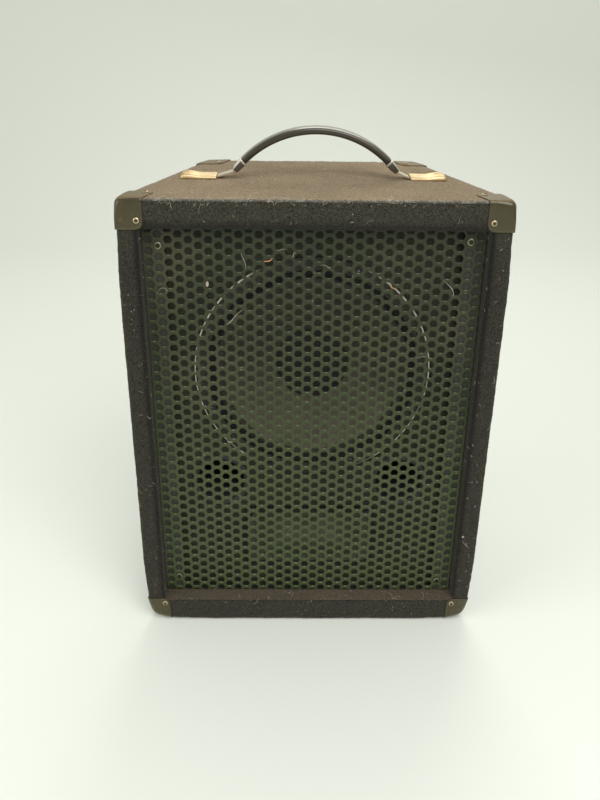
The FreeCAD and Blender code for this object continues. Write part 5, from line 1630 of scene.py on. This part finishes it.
# %% Dish, nuts and screws
DISH_FLOOR, DISH_FACE = 86.0, 111.5
DISH_SECTION = [
    (50.0, 39.0, 110.0), (50.0, 39.0, 110.9), (49.8, 38.8, 111.3), (49.3, 38.3, DISH_FACE),
    (38.0, 27.0, DISH_FACE), (37.0, 26.0, 111.3), (36.3, 25.3, 110.7), (36.0, 25.0, 109.8),
    (34.6, 23.6, 90.0), (34.1, 23.1, 87.8), (33.0, 22.0, 86.5), (31.0, 20.0, DISH_FLOOR),
    (12.0, 8.0, DISH_FLOOR), (0.0, 0.0, DISH_FLOOR),
]
DISH_WAY, DISH_CORNER, DISH_WALL = (14, 10, 6), 6.0, 1.5
NUT_STEPS, NUT_CHAMFER, NUT_FLAT = 36, 1.02, 0.8
WASHER, WASHER_EDGE, WASHER_FLAT = 0.7, 0.3, 0.6
JACK_X = 17.0
BACK_NORMAL = (0, 1, 0)
BACK_SCREWS = [(x, BACK_Y - 0.6, z) for x in (-76.0, 0.0, 76.0) for z in (38.5, 490.5)]
DISH_SCREWS = [(x, DISH_FACE, DISH_Z + z) for x in (-43.0, 43.0) for z in (-32.0, 32.0)]
nut_angle = np.arange(NUT_STEPS) * 2 * np.pi / NUT_STEPS


def ring_stack(radii, heights):
    """Rings about an axis, the last closed to the first: each has a height and one or many radii."""
    radii = np.stack([np.broadcast_to(radius, nut_angle.shape) for radius in radii])
    depth = np.broadcast_to(np.array(heights)[:, None], radii.shape)
    points = np.stack([radii * np.cos(nut_angle), radii * np.sin(nut_angle), depth], -1)
    return points.reshape(-1, 3), [grid_faces(*radii.shape, rows_meet=True, columns_meet=True)]


def hexagon_nut(across, hole, height):
    """Rings of a nut: hole edge, chamfered hexagon at the seat and at the top, hole edge again."""
    from_flat = (nut_angle + np.pi / 6) % (np.pi / 3) - np.pi / 6
    hexagon = across / 2 / np.cos(from_flat)
    chamfered = np.minimum(hexagon, across / 2 * NUT_CHAMFER)
    radii = [hole, hexagon, hexagon, chamfered, hole]
    return ring_stack(radii, [0.0, 0.0, height * NUT_FLAT, height, height])


def washer(radius, hole, height):
    """A flat ring with a softened edge."""
    radii = [hole, radius, radius, radius - WASHER_EDGE, hole]
    return ring_stack(radii, [0.0, 0.0, height * WASHER_FLAT, height, height])


def on_floor(height):
    """Both jacks' places, at a height over the dish's floor."""
    return [(side * JACK_X, DISH_FLOOR + height, DISH_Z) for side in (-1, 1)]


dish = carried_round(DISH_SECTION, way_round(*DISH_WAY), DISH_CORNER, (0, DISH_Z))
add_wall(add_grid("jack_dish_moulded", dish, "moulded_plastic", node="jack_dish"), DISH_WALL, BACK_NORMAL)
jack_washer = washer(radius=7.8, hole=4.7, height=WASHER)
set_screws("jack_washers", jack_washer, on_floor(0.0), BACK_NORMAL, "motor_steel")
jack_nut = hexagon_nut(across=12.0, hole=4.6, height=2.2)
set_screws("jack_nuts", jack_nut, on_floor(WASHER), BACK_NORMAL, "motor_steel", spin_seed=4)
back_head = pan_head(radius=4.2, height=1.9)
set_screws("back_screws", back_head, BACK_SCREWS, BACK_NORMAL, "motor_steel", spin_seed=6)
dish_head = pan_head(radius=3.1, height=1.6)
set_screws("dish_screws", dish_head, DISH_SCREWS, BACK_NORMAL, "motor_steel", spin_seed=7)

dish_plastic = plastic_finish("dish_plastic", shade=0.014, roughness=0.45, grain_size=1300)
dress(dish_plastic, "jack_dish_moulded")
dress(plated_finish("nickel_plate", (0.60, 0.58, 0.54), 0.3), "jack_nuts", "jack_washers")
jack_plastic = plastic_finish("jack_plastic", shade=0.02, roughness=0.35, grain_size=800)
dress(jack_plastic, "jack_socket_input", "jack_socket_link")
dull_screw = screw_finish("dull_screw", (0.12, 0.115, 0.11), (0.22, 0.21, 0.20), 0.03)
dress(dull_screw, "back_screws", "dish_screws")
print("back finished")

# %% [markdown]
# ## Floor and light
#
# A pale sheet runs under the cabinet and up behind it, as in a product studio. One large lamp above the front
# is the key, a second on the left fills, a third lights from behind, and the world gives the rest. All are
# soft and at a plain level, so that a colour renders about as it is written.

# %% Studio
FLOOR_FRONT, SWEEP_Y, SWEEP_RADIUS, WALL_TOP = -4.0, 1.6, 1.2, 4.5
BACKDROP_HALF, BACKDROP_COLUMNS = 5.0, 11
FLOOR_ROWS, SWEEP_ROWS, WALL_ROWS = 12, 17, 6
WORLD_COLOUR, WORLD_STRENGTH = (1.0, 1.0, 0.97, 1.0), 0.55


def studio_backdrop():
    """A floor that bends up into a wall: straight, a quarter circle, straight, and the same all across."""
    bend = np.linspace(0, np.pi / 2, SWEEP_ROWS)[1:]
    run = np.linspace(FLOOR_FRONT, SWEEP_Y, FLOOR_ROWS)
    climb = np.linspace(SWEEP_RADIUS, WALL_TOP, WALL_ROWS)[1:]
    wall_y = np.full_like(climb, SWEEP_Y + SWEEP_RADIUS)
    y = np.concatenate([run, SWEEP_Y + SWEEP_RADIUS * np.sin(bend), wall_y])
    z = np.concatenate([np.zeros_like(run), SWEEP_RADIUS * (1 - np.cos(bend)), climb])
    x = np.linspace(-BACKDROP_HALF, BACKDROP_HALF, BACKDROP_COLUMNS)
    return np.stack(np.broadcast_arrays(x, y[:, None], z[:, None]), -1)


def lamp(name, place, aim, size, power):
    """A square soft lamp that faces a point."""
    thing = placed(name, bpy.data.lights.new(name, "AREA"))
    thing.data.size = size
    thing.data.energy = power
    thing.location = place
    thing.rotation_euler = (Vector(aim) - Vector(place)).to_track_quat("-Z", "Y").to_euler()


backdrop = studio_backdrop()
floor_mesh = fill_mesh("studio_floor", backdrop, [grid_faces(*backdrop.shape[:2])])
floor_mesh.shade_smooth()
placed("studio_floor", floor_mesh)
dress(Finish("studio_paper").surface((0.84, 0.87, 0.79), 0.6), "studio_floor")
lamp("key", (0.6, -1.6, 1.9), (0, 0, 0.3), size=1.6, power=34)
lamp("fill", (-1.6, -1.0, 1.0), (0, 0, 0.25), size=1.4, power=12)
lamp("rim", (0.3, 1.5, 1.8), (0, 0, 0.4), size=1.2, power=12)
scene.world = bpy.data.worlds.new("studio")
scene.world.use_nodes = True
background = scene.world.node_tree.nodes["Background"].inputs
background["Color"].default_value = WORLD_COLOUR
background["Strength"].default_value = WORLD_STRENGTH
print("studio lit")
